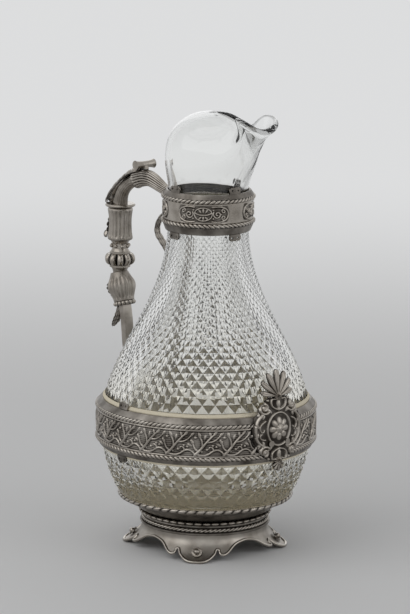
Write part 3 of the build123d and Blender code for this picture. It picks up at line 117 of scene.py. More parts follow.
def meshFromGrid(name, grid, ring=False, caps=(False, False), facets=None, relief=None):
    # closed rows of points joined to quads: ring closes the last row on the first, and a cap
    # closes an end row on its own middle point. Where facets is 1 or 2 a quad becomes two
    # flat triangles, along its rising or its falling diagonal.
    rows, cols = grid.shape[:2]
    points = grid.reshape(-1, 3)
    index = np.arange(rows * cols).reshape(rows, cols)
    right = np.roll(index, -1, axis=1)
    last = rows if ring else rows - 1
    above = np.roll(np.arange(rows), -1)[:last]
    quads = np.stack([index[:last], right[:last], right[above], index[above]], axis=-1).reshape(-1, 4)
    cut = np.zeros((0, 3), int)
    if facets is not None:
        way = facets[:last].ravel()
        rising, falling, quads = quads[way == 1], quads[way == 2], quads[way == 0]
        cut = np.concatenate([rising[:, [0, 1, 2]], rising[:, [0, 2, 3]],
                              falling[:, [0, 1, 3]], falling[:, [1, 2, 3]]])
    tris = [cut]
    extra = []
    for end, on in enumerate(caps):
        if on:
            row = index[0] if end == 0 else index[-1]
            middle = rows * cols + len(extra)
            extra.append(points[row].mean(axis=0))
            other = np.roll(row, -1)
            hub = np.full(cols, middle)
            tris.append(np.stack([other, row, hub] if end == 0 else [row, other, hub], axis=-1))
    if extra:
        points = np.concatenate([points, np.array(extra)])
    tris = np.concatenate(tris)
    loops = np.concatenate([quads.ravel(), tris.ravel()])
    sizes = np.concatenate([np.full(len(quads), 4), np.full(len(tris), 3)])
    starts = summed(sizes)[:-1]
    mesh = bpy.data.meshes.new(name)
    mesh.vertices.add(len(points))
    mesh.vertices.foreach_set("co", (points * mm).ravel())
    mesh.loops.add(len(loops))
    mesh.loops.foreach_set("vertex_index", loops)
    mesh.polygons.add(len(sizes))
    mesh.polygons.foreach_set("loop_start", starts)
    smooth = np.ones(len(sizes), bool)
    smooth[len(quads):len(quads) + len(cut)] = False
    mesh.polygons.foreach_set("use_smooth", smooth)
    mesh.update(calc_edges=True)
    mesh.validate()
    if relief is not None:
        values = np.concatenate([relief.ravel(), np.full(len(extra), float(np.mean(relief)))])
        mesh.attributes.new("relief", "FLOAT", "POINT").data.foreach_set("value", values)
    piece = bpy.data.objects.new(name, mesh)
    bpy.context.scene.collection.objects.link(piece)
    return piece


def settle(piece, material, *replaced, slot="silver"):
    # finish, the root body and the nodes that the piece stands for, which are hidden; slot is not used
    piece.data.materials.append(material)
    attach(piece, "root")
    if replaced:
        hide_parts(*replaced)


# Materials

def newMaterial(name):
    # hands back the material, its node tree and its surface shader
    material = bpy.data.materials.new(name)
    material.use_nodes = True
    tree = material.node_tree
    return material, tree, tree.nodes["Principled BSDF"]


def feedNode(tree, node, feeds):
    # each feed is a plain value, or the output of an earlier node
    for key, feed in feeds.items():
        if isinstance(feed, bpy.types.NodeSocket):
            tree.links.new(feed, node.inputs[key])
        else:
            node.inputs[key].default_value = feed


def addNode(tree, kind, feeds=None, **settings):
    # hands back the outputs of the new node
    node = tree.nodes.new("ShaderNode" + kind)
    for key, value in settings.items():
        setattr(node, key, value)
    feedNode(tree, node, feeds or {})
    return node.outputs


tarnish = {
    "inputs": {"Relief": 0.6, "Film": 0.5, "Grain": 900.0},
    "outputs": ("Mask", "Mottle", "Grain"),
    "cloudScale": 90.0,
    "cloudDetail": 5.0,
    "cloudShare": 0.55,  # how far the cloud moves the film's edge
    "grainDetail": 3.0,
    "clean": -0.05,  # film less relief where the metal is bare
    "black": 0.55,  # and where the film is full
    "dullness": 0.55,  # roughness of the full film
    "dentStrength": 0.25,
}
# bright and warm sit well below clean silver: partly the oxidised metal's own tone, partly a painted dark
# reflection, darker than the pale stage that the metal mirrors
silverTone = {
    "bright": (0.50, 0.47, 0.43, 1.0),
    "warm": (0.27, 0.235, 0.195, 1.0),
    "dark": (0.030, 0.025, 0.021, 1.0),
}
glassTint = {
    "height": 0.3,  # metres
    "stops": [(0.0, (0.965, 0.93, 0.83)), (1.0, (0.985, 0.99, 0.985)),  # both ends first
              (0.145, (0.97, 0.94, 0.84)), (0.19, (0.98, 0.975, 0.94)),
              (0.33, (0.975, 0.95, 0.87)), (0.46, (0.985, 0.985, 0.97))],
    "index": 1.52,
}
plasterLook = {
    "light": (0.86, 0.79, 0.63, 1),
    "deep": (0.72, 0.64, 0.48, 1),
    "grit": 700.0,
    "dent": 0.0004,
    "roughness": 0.85,
}


def makeTarnishGroup():
    # mask of the dark film that stays in the recesses: the film and a share of a cloud, less
    # the relief, smoothed between clean and black; the cloud and a fine grain go out with it
    group = bpy.data.node_groups.new("tarnish", "ShaderNodeTree")
    for name, value in tarnish["inputs"].items():
        socket = group.interface.new_socket(name, in_out="INPUT", socket_type="NodeSocketFloat")
        socket.default_value = value
    for name in tarnish["outputs"]:
        group.interface.new_socket(name, in_out="OUTPUT", socket_type="NodeSocketFloat")
    given = group.nodes.new("NodeGroupInput").outputs
    place = addNode(group, "TexCoord")["Object"]
    cloud = addNode(group, "TexNoise", {
        "Scale": tarnish["cloudScale"], "Detail": tarnish["cloudDetail"], "Vector": place})["Fac"]
    grain = addNode(group, "TexNoise", {
        "Scale": given["Grain"], "Detail": tarnish["grainDetail"], "Vector": place})["Fac"]
    spread = addNode(group, "Math", {0: cloud, 1: tarnish["cloudShare"], 2: given["Film"]},
                     operation="MULTIPLY_ADD")
    lift = addNode(group, "Math", {0: spread[0], 1: given["Relief"]}, operation="SUBTRACT")
    ramp = addNode(group, "MapRange", {
        "From Min": tarnish["clean"], "From Max": tarnish["black"], "Value": lift[0]},
        interpolation_type="SMOOTHSTEP")
    feedNode(group, group.nodes.new("NodeGroupOutput"), {
        "Mask": ramp["Result"], "Mottle": cloud, "Grain": grain})
    return group


tarnishGroup = makeTarnishGroup()


def makeSilver(name, film, byRelief=False, polish=0.16, grain=900.0, dent=0.0004):
    # silver with a dark film where the relief attribute is low, or evenly thin without one
    material, tree, shader = newMaterial(name)
    feeds = {"Film": film, "Grain": grain}
    if byRelief:
        feeds["Relief"] = addNode(tree, "Attribute", attribute_name="relief")["Fac"]
    film = addNode(tree, "Group", feeds, node_tree=tarnishGroup)
    tone = addNode(tree, "Mix", {
        "A": silverTone["bright"], "B": silverTone["warm"], "Factor": film["Mottle"]}, data_type="RGBA")
    stain = addNode(tree, "Mix", {
        "A": tone["Result"], "B": silverTone["dark"], "Factor": film["Mask"]}, data_type="RGBA")
    rough = addNode(tree, "MapRange", {
        "To Min": polish, "To Max": tarnish["dullness"], "Value": film["Mask"]})
    bump = addNode(tree, "Bump", {
        "Distance": dent, "Strength": tarnish["dentStrength"], "Height": film["Grain"]})
    feedNode(tree, shader, {"Metallic": 1.0, "Base Color": stain["Result"],
                            "Roughness": rough["Result"], "Normal": bump["Normal"]})
    return material


def makeGlass():
    # clear glass with a faint straw tint by height, strongest where the bedding shines through
    material, tree, shader = newMaterial("cutGlass")
    place = addNode(tree, "TexCoord")["Object"]
    split = addNode(tree, "SeparateXYZ", {0: place})
    share = addNode(tree, "Math", {0: split["Z"], 1: glassTint["height"]}, operation="DIVIDE")
    band = tree.nodes.new("ShaderNodeValToRGB")
    feedNode(tree, band, {"Fac": share[0]})
    stops = band.color_ramp.elements
    for k, (at, colour) in enumerate(glassTint["stops"]):
        stop = stops[k] if k < 2 else stops.new(at)
        stop.color = (*colour, 1)
    feedNode(tree, shader, {"Transmission Weight": 1.0, "IOR": glassTint["index"], "Roughness": 0.0,
                            "Base Color": band.outputs["Color"]})
    return material


def makePlaster():
    # cream plaster: grit mixes two tones and raises the surface a little
    material, tree, shader = newMaterial("creamPlaster")
    place = addNode(tree, "TexCoord")["Object"]
    grit = addNode(tree, "TexNoise", {"Scale": plasterLook["grit"], "Vector": place})["Fac"]
    tone = addNode(tree, "Mix", {
        "A": plasterLook["light"], "B": plasterLook["deep"], "Factor": grit}, data_type="RGBA")
    bump = addNode(tree, "Bump", {"Distance": plasterLook["dent"], "Height": grit})
    feedNode(tree, shader, {"Base Color": tone["Result"], "Roughness": plasterLook["roughness"],
                            "Normal": bump["Normal"]})
    return material


silverPlain = makeSilver("silverPlain", 0.36)
silverChased = makeSilver("silverChased", 0.42, byRelief=True)
silverSatin = makeSilver("silverSatin", 0.42, polish=0.32, grain=1600.0, dent=0.0003)
silverBright = makeSilver("silverBright", 0.12, polish=0.12)
# a heavier film for the flanges, tabs, step and ogee rings and the foot cup: partly their tarnish, partly
# painted shade where these parts sit in recesses beside the glass
silverAgedAndShaded = makeSilver("silverAgedAndShaded", 0.58, polish=0.24)
glassClear = makeGlass()
plasterCream = makePlaster()
slotFinish = {
    "silver": silverPlain,
    "glass": glassClear,
    "plaster": plasterCream,
    "steel": makeSilver("turnedSteel", 0.35, polish=0.35),
}
satinNodes = ("handle_tail", "handle_tail_plate", "handle_socket")
agedAndShadedWords = ("flange", "tabs", "step_ring", "ogee_ring", "foot_cup")
slotOf = {entry["node"]: entry["material_slot"] for entry in frame["record"]["subparts"]}
for name, node in nodes.items():
    node.data.materials.clear()
    # parts named by these words take the heavier film, partly tarnish and partly painted shade
    agedAndShaded = any(word in name for word in agedAndShadedWords)
    finish = silverSatin if name in satinNodes else silverAgedAndShaded if agedAndShaded else slotFinish[slotOf[name]]
    node.data.materials.append(finish)
print("materials made")


# Glass

glassBody = {
    "outline": [(34.0, 28.6), (53.0, 33.7), (59.5, 39.0), (67.0, 54.0), (72.4, 84.0), (61.2, 128.6),
                (39.0, 173.0), (28.9, 206.0), (27.3, 236.0), (27.4, 250.0)],  # radius, height
    "hollow": [(22.0, 37.6), (44.0, 41.0), (55.5, 48.5), (61.5, 58.0), (68.2, 84.0), (57.0, 128.6),
               (34.8, 173.0), (25.4, 206.0), (24.3, 236.0), (24.6, 250.0)],
    "cutsAround": 48,  # diamonds in one turn
    "aspect": 1.28,  # height of a diamond over its width
    "cutDepth": 0.17,  # depth of a cut over the width of a diamond
    "cutFrom": 39.6,
    "cutTo": 221.0,
    "plainStrip": (71.0, 106.0),  # uncut under and just above the waist band
    "columns": 192,
    "footRows": 16,
    "hollowRows": 70,
    "wall": 2.8,  # of the hood
    "hoodRows": 64,
    "hoodKnots": [-0.22, 0, 0.25, 0.47, 0.66, 0.83, 1.0],  # from under the neck to the rim
    "neckRun": 12.0,  # length inside the collar where the columns move to their new spacing
    "hollowEnd": 16.0,  # the hollow's own line stops this far under the neck
    "beadRun": 2.2,  # the wall swells to the rim's bead over this many bead radii
    "rimSteps": 12,
}
# Columns of the hood from the neck to the rim, from the back round to the tip of the lip:
# each has its angle at the neck, then places half way through the wall.
hoodColumns = [
    (180, [(-27.9, 0, 264), (-27.2, 0, 279), (-20.3, 0, 290.6), (-9.0, 0, 297.3), (8.5, 0, 299.6)]),
    (150, [(-24.2, 14, 264), (-23.3, 13.6, 279), (-16.8, 11.8, 290), (-5.8, 8.0, 296.8), (9.6, 1.6, 299.6)]),
    (120, [(-14, 24.3, 264), (-12.5, 24, 279), (-7.5, 20.4, 289.2), (1.6, 12.9, 295.8), (12.5, 2.6, 299.5)]),
    (90, [(0, 28, 264), (1.5, 26.6, 279), (4.2, 22.0, 288.2), (9.4, 13.4, 294.6), (18.0, 3.0, 299.1)]),
    (65, [(12.6, 25.6, 264), (14.5, 24, 277.5), (16.8, 19.2, 286.8), (19.6, 12, 292.9), (24, 3, 297.9)]),
    (45, [(21.5, 20.5, 264), (24.2, 18.8, 276), (26.2, 14.4, 284.8), (28.0, 9.0, 290.6), (30.0, 3.0, 296.3)]),
    (30, [(27.3, 16, 264), (31.2, 14.8, 275), (33.6, 11.0, 283.4), (35.0, 6.8, 289.2), (36.0, 3.0, 294.8)]),
    (20, [(30.5, 12.4, 264), (35.8, 12.3, 275), (38.9, 10.0, 283.4), (40.4, 6.8, 289.0), (41.0, 3.9, 294.0)]),
    (13, [(32.6, 9.1, 264), (38.8, 10.0, 275), (42.4, 9.8, 284.2), (43.2, 8.6, 291.0), (42.2, 7.4, 297.0)]),
    (8, [(33.7, 6.0, 264), (40.6, 7.4, 275), (45.4, 9.0, 284.3), (46.4, 10.6, 292.6), (44.0, 12.0, 300.2)]),
    (4.5, [(34.2, 3.5, 264), (41.5, 4.8, 275), (47.2, 6.6, 284.0), (50.2, 10.2, 292.0), (50.0, 13.6, 300.0)]),
    (2, [(34.4, 1.6, 264), (41.9, 2.3, 275), (48.0, 3.7, 283.4), (53.8, 7.0, 290.8), (56.2, 11.3, 297.2)]),
    (0, [(34.5, 0, 264), (42.0, 0, 275), (48.4, 0, 283.2), (54.4, 0, 288.8), (58.5, 0, 292.6)]),
]
beadRadius = [1.1, 1.15, 1.3, 1.5, 1.7, 1.8, 1.8, 1.7, 1.5, 1.4, 1.6, 2.0, 2.4]


def makeGlassBody():
    # outside: a spline of radius against height on a lattice of half diamonds that narrows
    # with the radius. Every second crossing is the point of a pyramid, the others drop to the
    # floor of the grooves, and each quad is cut on the diagonal that joins two dropped points.
    # hood: a spline surface through the columns, thickened both ways; the rim ends in a half
    # circle from outside to inside
    one = glassBody
    columns = one["columns"]
    angle = around(columns)
    cuts = one["cutsAround"]
    fine = smoothCurve(one["outline"], 4000)
    radius, height = fine[:, 0], fine[:, 1]
    stretch = np.diff(summed(np.hypot(np.diff(radius), np.diff(height))))
    lattice = summed(stretch / (0.5 * (radius[1:] + radius[:-1])))
    first = np.interp(one["cutFrom"], height, lattice)
    last = np.interp(one["cutTo"], height, lattice)
    rowStep = turn / (2 * cuts) * one["aspect"]
    rowCount = int(round((last - first) / rowStep))
    level = first + (last - first) * np.arange(rowCount + 1) / rowCount
    cutRadius = np.interp(level, lattice, radius)
    cutHeight = np.interp(level, lattice, height)
    low, high = one["plainStrip"]
    plain = (cutHeight > low) & (cutHeight < high)
    plain[[0, -1]] = True
    odd = (np.arange(rowCount + 1)[:, None] + np.arange(2 * cuts)[None, :]) % 2
    drop = (1 - odd) * (one["cutDepth"] * turn / cuts * cutRadius * ~plain)[:, None]
    slope = np.gradient(cutRadius) / np.hypot(np.gradient(cutRadius), np.gradient(cutHeight))
    reach = cutRadius[:, None] - drop * np.sqrt(1 - slope ** 2)[:, None]
    rise = cutHeight[:, None] + drop * slope[:, None]
    coarse = turned(reach, around(2 * cuts), rise)
    beside = np.roll(coarse, -1, axis=1)
    cellOdd = odd[:-1, :, None]  # the dropped points lie on the rising diagonal where this is 0
    rising = 0.5 * (coarse[:-1] + beside[1:])
    falling = 0.5 * (beside[:-1] + coarse[1:])
    body = np.zeros((2 * rowCount + 1, columns, 3))
    body[::2, ::2] = coarse
    body[::2, 1::2] = 0.5 * (coarse + beside)
    body[1::2, ::2] = 0.5 * (coarse[:-1] + coarse[1:])
    body[1::2, 1::2] = np.where(cellOdd == 0, rising, falling)
    cellWay = np.repeat(np.repeat(1 + odd[:-1], 2, axis=0), 2, axis=1)
    footRows = evenSteps(fine[height < one["cutFrom"]], one["footRows"])[:-1]
    foot = turned(footRows[:, :1], angle, footRows[:, 1:])

    # hood: columns are spread by the mean of neck and rim lengths, mirrored and wrapped
    neckRadius, neckHeight = one["outline"][-1]
    wall = one["wall"]
    middle = neckRadius - wall / 2
    half = []
    for degrees, path in hoodColumns:
        a = math.radians(degrees)
        x, y = middle * math.cos(a), middle * math.sin(a)
        half.append([(x, y, neckHeight - one["neckRun"]), (x, y, neckHeight)] + path)
    half = np.array(half)[::-1]  # from the tip round to the back
    bead = np.array(beadRadius[::-1])
    rimStep = np.linalg.norm(np.diff(half[:, -1], axis=0), axis=1)
    neckStep = np.linalg.norm(np.diff(half[:, 1], axis=0), axis=1)
    knots = summed(rimStep / rimStep.sum() + neckStep / neckStep.sum()) / 2
    mirrored = half[::-1][1:-1] * np.array([1, -1, 1])
    whole = np.concatenate([half, mirrored])
    wholeKnots = np.concatenate([knots, 2 - knots[::-1][1:-1]])
    wholeBead = np.concatenate([bead, bead[::-1][1:-1]])
    wrapKnots = np.concatenate([wholeKnots - 2, wholeKnots, wholeKnots + 2])
    across = splineWeights(wrapKnots, np.arange(columns) * 2 / columns)
    tiled = np.concatenate([whole] * 3)
    beads = across @ np.concatenate([wholeBead] * 3)
    pathKnots = np.array(one["hoodKnots"])
    up = splineWeights(pathKnots, np.linspace(pathKnots[0], pathKnots[-1], one["hoodRows"]))
    sheet = np.einsum("rk,ckx->rcx", up, np.einsum("ct,tkx->ckx", across, tiled))
    alongUp = np.gradient(sheet, axis=0)
    alongRound = np.roll(sheet, -1, axis=1) - np.roll(sheet, 1, axis=1)
    normal = unit(np.cross(alongRound, alongUp))
    tangent = unit(alongUp)
    toRim = np.linalg.norm(sheet - sheet[-1:], axis=-1)
    swelling = 1 - smoothStep(toRim, 0, one["beadRun"] * beads[None, :])
    thick = wall / 2 + (beads[None, :] - wall / 2) * swelling
    outer = sheet + normal * thick[..., None]
    inner = sheet - normal * thick[..., None]
    rounds = np.linspace(0, np.pi, one["rimSteps"])[1:-1, None, None]
    cap = sheet[-1] + (np.cos(rounds) * normal[-1] + np.sin(rounds) * tangent[-1]) * beads[:, None]

    # between body and hood, inside the collar, the columns move to their new spacing
    hollow = evenSteps(smoothCurve(one["hollow"], 2000), one["hollowRows"])
    hollow = hollow[hollow[:, 1] < neckHeight - one["hollowEnd"]]
    inside = turned(hollow[:, :1], angle, hollow[:, 1:])
    shape = np.concatenate([foot, body, outer, cap, inner[::-1], inside[::-1]])
    facets = np.zeros((len(shape), columns), int)
    facets[len(foot):len(foot) + len(cellWay)] = cellWay
    piece = meshFromGrid("glassBody", shape, caps=(True, True), facets=facets)
    settle(piece, glassClear, "glass_body", slot="glass")


makeGlassBody()
print("glass cut")


# Silver rings

def turnedRing(name, outline, columns, swell):
    # a closed outline of radius and height, climbing on its outside, carried round the axis;
    # swell gives each point's move along the outline's own normal, and its relief
    outline = np.asarray(outline, float)
    run = unit(np.roll(outline, -1, axis=0) - np.roll(outline, 1, axis=0))
    angle = around(columns)
    move, relief = swell(angle, outline[:, :1], outline[:, 1:])
    reach = outline[:, :1] + run[:, 1:] * move
    rise = outline[:, 1:] - run[:, :1] * move
    return meshFromGrid(name, turned(reach, angle, rise), ring=True, relief=relief + 0 * angle)


ropeShape = {
    "steps": 15,  # across the moulding
    "columnsEach": 8,  # in one strand
    "depth": 0.62,
    "sharpness": 0.8,
}
ropeRings = {
    # outer radius, middle height, thickness, inner radius, strands, lean of the lay
    "waist_rope_upper": (75.9, 98.6, 3.2, 73.0, 138, 1.1),
    "waist_rope_lower": (75.9, 76.8, 3.2, 73.0, 138, -1.1),
    "collar_rope_upper": (32.1, 242.8, 3.0, 29.2, 58, 1.1),
    "collar_rope_lower": (32.1, 226.4, 3.0, 29.2, 58, -1.1),
    "foot_rope_ring": (44.0, 19.45, 2.9, 37.0, 84, 1.5),
}


def makeRope(node, radius, middle, thick, back, strands, lean):
    # half round moulding; its depth follows the sine of the strand's phase, which grows with
    # the angle round the object and falls with the angle round the moulding
    one = ropeShape
    half = thick / 2
    bow = np.linspace(-np.pi / 2, np.pi / 2, one["steps"])
    bead = np.stack([radius - half + half * np.cos(bow), middle + half * np.sin(bow)], axis=1)
    outline = np.concatenate([bead, [(back, middle + half), (back, middle - half)]])

    def swell(angle, reach, rise):
        roundIt = np.arctan2(rise - middle, reach - radius + half)
        strand = np.abs(np.sin(0.5 * strands * angle - lean * roundIt)) ** one["sharpness"]
        face = (reach > radius - half - 0.01) * 1.0
        return face * one["depth"] * (strand - 1), 0.05 + 0.95 * strand * face

    piece = turnedRing(node.title().replace("_", ""), outline, strands * one["columnsEach"], swell)
    settle(piece, silverChased, node)


# Raised work: lines, leaves and berries laid on a flat sheet of u along and v up

def offset(u, v, place, period):
    # distances from a place, the first to its nearest repeat
    du = u - place[0]
    if period:
        du = du - period * np.round(du / period)
    return du, v - place[1]


def ridge(u, v, line, width, height, taper=0.0, period=None):
    # rounded ridge along a line: a half ellipse of the distance to its nearest stretch,
    # thinner towards the line's end
    best = np.full(np.broadcast(u, v).shape, np.inf)
    count = len(line) - 1
    for k in range(count):
        du, dv = offset(u, v, line[k], period)
        step = line[k + 1] - line[k]
        t = np.clip((du * step[0] + dv * step[1]) / (step @ step), 0, 1)
        near = (du - t * step[0]) ** 2 + (dv - t * step[1]) ** 2
        wide = width * (1 - taper * (k + t) / count)
        best = np.minimum(best, near / wide ** 2)
    return height * np.sqrt(np.clip(1 - best, 0, 1))


def leaf(u, v, place, lean, length, width, height, period=None):
    # almond shaped leaf: the root of one less the length squared and the width, grooved
    # along its middle
    du, dv = offset(u, v, place, period)
    a = (du * np.cos(lean) + dv * np.sin(lean)) / length
    b = (dv * np.cos(lean) - du * np.sin(lean)) / width
    inside = np.clip(1 - a * a - np.abs(b), 0, 1)
    return height * np.sqrt(inside) * (1 - 0.35 * np.exp(-(b / 0.2) ** 2) * (inside > 0))


def berry(u, v, place, radius, height, period=None):
    # half ball: the root of one less the distance squared
    du, dv = offset(u, v, place, period)
    return height * np.sqrt(np.clip(1 - (du ** 2 + dv ** 2) / radius ** 2, 0, 1))


def raised(u, v, work, period=None):
    # height of the highest ridge, leaf or berry at each place
    parts = [shape(u, v, *measures, period=period)
             for shape, kind in ((ridge, "lines"), (leaf, "leaves"), (berry, "berries"))
             for measures in work[kind]]
    return np.max(parts, axis=0)


def spiral(middle, start, end, turns, first, count=26):
    # from radius start to radius end while it turns, from the angle first
    t = np.linspace(0, 1, count)
    radius = start + (end - start) * t
    angle = first + turns * turn * t
    return np.stack([middle[0] + radius * np.cos(angle), middle[1] + radius * np.sin(angle)], axis=1)


def softened(field, reach):
    # mean over a square of neighbours, wrapped at the ends
    shifts = range(-reach, reach + 1)
    alongTurn = sum(np.roll(field, k, axis=1) for k in shifts) / len(shifts)
    return sum(np.roll(alongTurn, k, axis=0) for k in shifts) / len(shifts)


# one length of the running branch: a forked stem leaning with the turn, a low tendril to the
# next stem, leaves at the tips and berries in the gaps, over fine ruled lines
waistFrieze = {
    "radius": 74.6,
    "bottom": 78.4,
    "top": 97.0,
    "back": 73.1,
    "repeats": 24,
    "columnsEach": 54,
    "rows": 56,
    "height": 1.15,
    "ruledPitch": 1.35,
    "ruledHeight": 0.07,
    "soften": 3,  # steps over which the film gathers beside the work, partly as tarnish and partly as painted shade at the feet of the work
    "lines": [  # line, half width, height, taper
        (smoothCurve([(0.6, 1.6), (3.2, 4.0), (6.4, 7.9), (9.8, 12.0), (13.4, 15.6)], 14), 1.15, 1.0, 0.45),
        (smoothCurve([(5.6, 6.9), (5.4, 10.2), (4.2, 13.4)], 14), 0.8, 0.85, 0.4),
        (smoothCurve([(8.6, 10.4), (11.4, 10.6), (14.6, 12.0), (17.4, 14.6)], 14), 0.75, 0.85, 0.4),
        (smoothCurve([(1.2, 2.2), (5.4, 1.4), (9.6, 2.2), (13.2, 4.6), (16.4, 5.0), (19.6, 2.6)], 14),
         0.75, 0.8, 0.2),
        (smoothCurve([(13.0, 4.6), (12.2, 6.6), (10.6, 7.0), (9.9, 5.8)], 14), 0.6, 0.75, 0.4),
        (smoothCurve([(3.0, 4.0), (0.6, 5.8), (-0.6, 8.6)], 14), 0.7, 0.75, 0.4),
    ],
    "leaves": [  # place, lean, length, width, height
        ((14.2, 16.2), 0.9, 2.4, 1.1, 0.95), ((3.7, 14.9), 1.9, 2.5, 1.15, 0.95),
        ((18.3, 15.6), 0.8, 2.2, 1.0, 0.9), ((10.9, 15.4), 1.8, 2.1, 0.95, 0.85),
        ((-1.2, 10.2), 2.0, 2.2, 1.05, 0.85), ((7.4, 13.6), 1.3, 2.0, 0.9, 0.8),
        ((16.6, 8.4), -0.4, 2.1, 1.0, 0.8),
    ],
    "berries": [  # place, radius, height
        ((8.6, 5.4), 0.95, 0.85), ((15.0, 7.2), 0.8, 0.8), ((0.9, 13.4), 0.95, 0.8), ((12.6, 8.0), 0.75, 0.7),
        ((17.6, 11.4), 0.85, 0.8), ((5.2, 3.9), 0.6, 0.6),
    ],
}


def chaseBand(name, one, repeats, move, relief, *nodes):
    # flat band that carries one length of work on its outer face, repeated round it; its
    # back has two plain rows
    rows = np.linspace(one["bottom"], one["top"], one["rows"])
    face = np.stack([np.full(len(rows), one["radius"]), rows], axis=1)
    outline = np.concatenate([face, [(one["back"], one["top"]), (one["back"], one["bottom"])]])
    plain = np.zeros((2, one["columnsEach"] * repeats))

    def swell(angle, reach, rise):
        return (np.concatenate([np.tile(move, (1, repeats)), plain]),
                np.concatenate([np.tile(relief, (1, repeats)), plain + 0.5]))

    settle(turnedRing(name, outline, one["columnsEach"] * repeats, swell), silverChased, *nodes)


def makeWaistFrieze():
    # the branch over lines ruled by a sine of the height, between two raised borders
    one = waistFrieze
    period = turn * one["radius"] / one["repeats"]
    u = (np.arange(one["columnsEach"]) * period / one["columnsEach"])[None, :]
    tall = one["top"] - one["bottom"]
    v = np.linspace(0, tall, one["rows"])[:, None]
    work = raised(u, v, one, period)
    ruled = one["ruledHeight"] * np.sin(v * turn / one["ruledPitch"]) * (1 - smoothStep(work, 0, 0.3))
    border = 1 - smoothStep(np.minimum(v, tall - v), 0.5, 1.1)
    high = np.maximum(work, 0.7 * border)
    # the ground beside the raised work darkens by its softened height: partly tarnish in the hollows, partly
    # painted shade at the feet of the work
    relief = np.clip(0.46 + 0.85 * high - 0.75 * softened(high, one["soften"]) + 1.8 * ruled, 0, 1)
    chaseBand("WaistFrieze", one, one["repeats"], one["height"] * high + ruled - 0.1, relief, "waist_band")


# one panel of strapwork, mirrored about its middle: an oval with a palmette, two rings beside
# it, a pair of facing scrolls and a round bow at each end
arch = np.linspace(0, np.pi, 22)
collarFrieze = {
    "radius": 30.4,
    "bottom": 227.9,
    "top": 241.3,
    "back": 28.6,
    "columnsEach": 190,  # in one quarter
    "rows": 46,
    "soften": 3,
    "panelHalf": 17.6,  # half length of a panel
    "sunk": 0.3,  # depth of the panel's ground
    "lines": [
        (smoothCurve([(-5.6, 7.6), (-3.4, 6.6), (0, 6.2), (3.4, 6.6), (5.6, 7.6)], 12), 0.55, 0.8),
        (np.stack([6.0 * np.cos(arch), 6.7 + 4.4 * np.sin(arch)], axis=1), 0.5, 0.75),
        (np.stack([6.0 * np.cos(arch), 6.7 - 4.4 * np.sin(arch)], axis=1), 0.5, 0.75),
        (spiral((9.6, 6.7), 2.9, 0.5, 1.35, 2.6), 0.6, 0.9),
        (smoothCurve([(6.0, 11.6), (9.6, 11.9), (13.4, 11.4), (16.3, 9.6), (17.3, 6.7)], 14), 0.62, 0.9),
        (smoothCurve([(6.0, 1.8), (9.6, 1.5), (13.4, 2.0), (16.3, 3.8), (17.3, 6.7)], 14), 0.62, 0.9),
        (spiral((14.0, 8.9), 1.9, 0.4, 1.2, 0.4), 0.5, 0.8),
        (spiral((14.0, 4.5), 1.9, 0.4, -1.2, -0.4), 0.5, 0.8),
    ],
    "leaves": [
        ((2.4, 8.9), 0.95, 2.0, 0.75, 0.8), ((0.0, 9.2), 1.57, 2.1, 0.8, 0.9),
        ((2.3, 4.0), -0.8, 1.9, 0.7, 0.75), ((0.0, 3.9), 1.57, 1.7, 0.8, 0.8),
    ],
    "berries": [((6.9, 9.6), 0.75, 0.8), ((6.9, 3.8), 0.75, 0.8), ((12.0, 6.7), 0.7, 0.7)],
}


def makeCollarFrieze():
    # polished band with four sunk panels of strapwork between plain lengths; a panel's end
    # bows with the square of the distance from its middle line
    one = collarFrieze
    quarter = turn * one["radius"] / 4
    u = np.abs((np.arange(one["columnsEach"]) + 0.5) / one["columnsEach"] - 0.5)[None, :] * quarter
    tall = one["top"] - one["bottom"]
    v = np.linspace(0, tall, one["rows"])[:, None]
    fromMiddle = np.abs(v - 0.5 * tall)
    endBow = one["panelHalf"] + 0.9 - 0.055 * fromMiddle ** 2
    ground = smoothStep(endBow - u, 0, 0.7) * smoothStep(0.5 * tall - 0.8 - fromMiddle, 0, 0.5)
    high = raised(u, v, one)
    # darker beside the raised work by its softened height: partly tarnish in the hollows, partly painted
    # shade at the feet of the work
    gatheredFilmAndShade = 0.85 * high - 0.6 * softened(high, one["soften"])
    relief = np.clip(0.62 - 0.22 * ground + ground * gatheredFilmAndShade, 0, 1)
    move = high - one["sunk"] * ground * (1 - high) + 0.1
    chaseBand("CollarFrieze", one, 4, move, relief, "collar_band", "collar_cartouches")


beddings = {
    # lines of height and thickness over the glass: within the thin lips of the mounts, then
    # a fillet that runs out on the glass
    "waist": [(70.6, 0.1), (71.9, 0.9), (72.4, 0.3), (88.0, 0.3), (103.7, 0.3), (104.2, 1.0), (105.2, 0.4),
              (106.4, 0.1)],
    "foot": [(29.2, 0.5), (32.0, 0.5), (36.2, 0.5), (36.7, 0.9), (37.4, 0.4), (38.0, 0.1)],
    "grip": 0.05,  # the plaster's skin lies this far in the glass, so that no air shows
    "footDisc": [(33.4, 28.65), (7.6, 28.65), (7.6, 27.1), (33.4, 27.1)],  # under the glass bottom
    "rows": 90,
    "columns": 192,
}


def makeBedding(name, line, disc, *nodes):
    # ring of plaster between the glass and its mount, along the glass outline's normal
    fine = smoothCurve(glassBody["outline"], 4000)
    heights = np.linspace(line[0][0], line[-1][0], beddings["rows"])
    reach = np.interp(heights, fine[:, 1], fine[:, 0])
    slope = np.gradient(reach, heights)
    normal = np.stack([1 / np.hypot(1, slope), -slope / np.hypot(1, slope)], axis=1)
    skin = np.stack([reach, heights], axis=1)
    thick = np.interp(heights, *np.array(line).T)[:, None]
    outline = np.concatenate([np.reshape(disc, (-1, 2)), skin + thick * normal,
                              (skin - beddings["grip"] * normal)[::-1]])

    def plain(angle, reach, rise):
        return 0 * reach * angle, 0.5 + 0 * reach * angle

    settle(turnedRing(name, outline, beddings["columns"], plain), plasterCream, *nodes, slot="plaster")


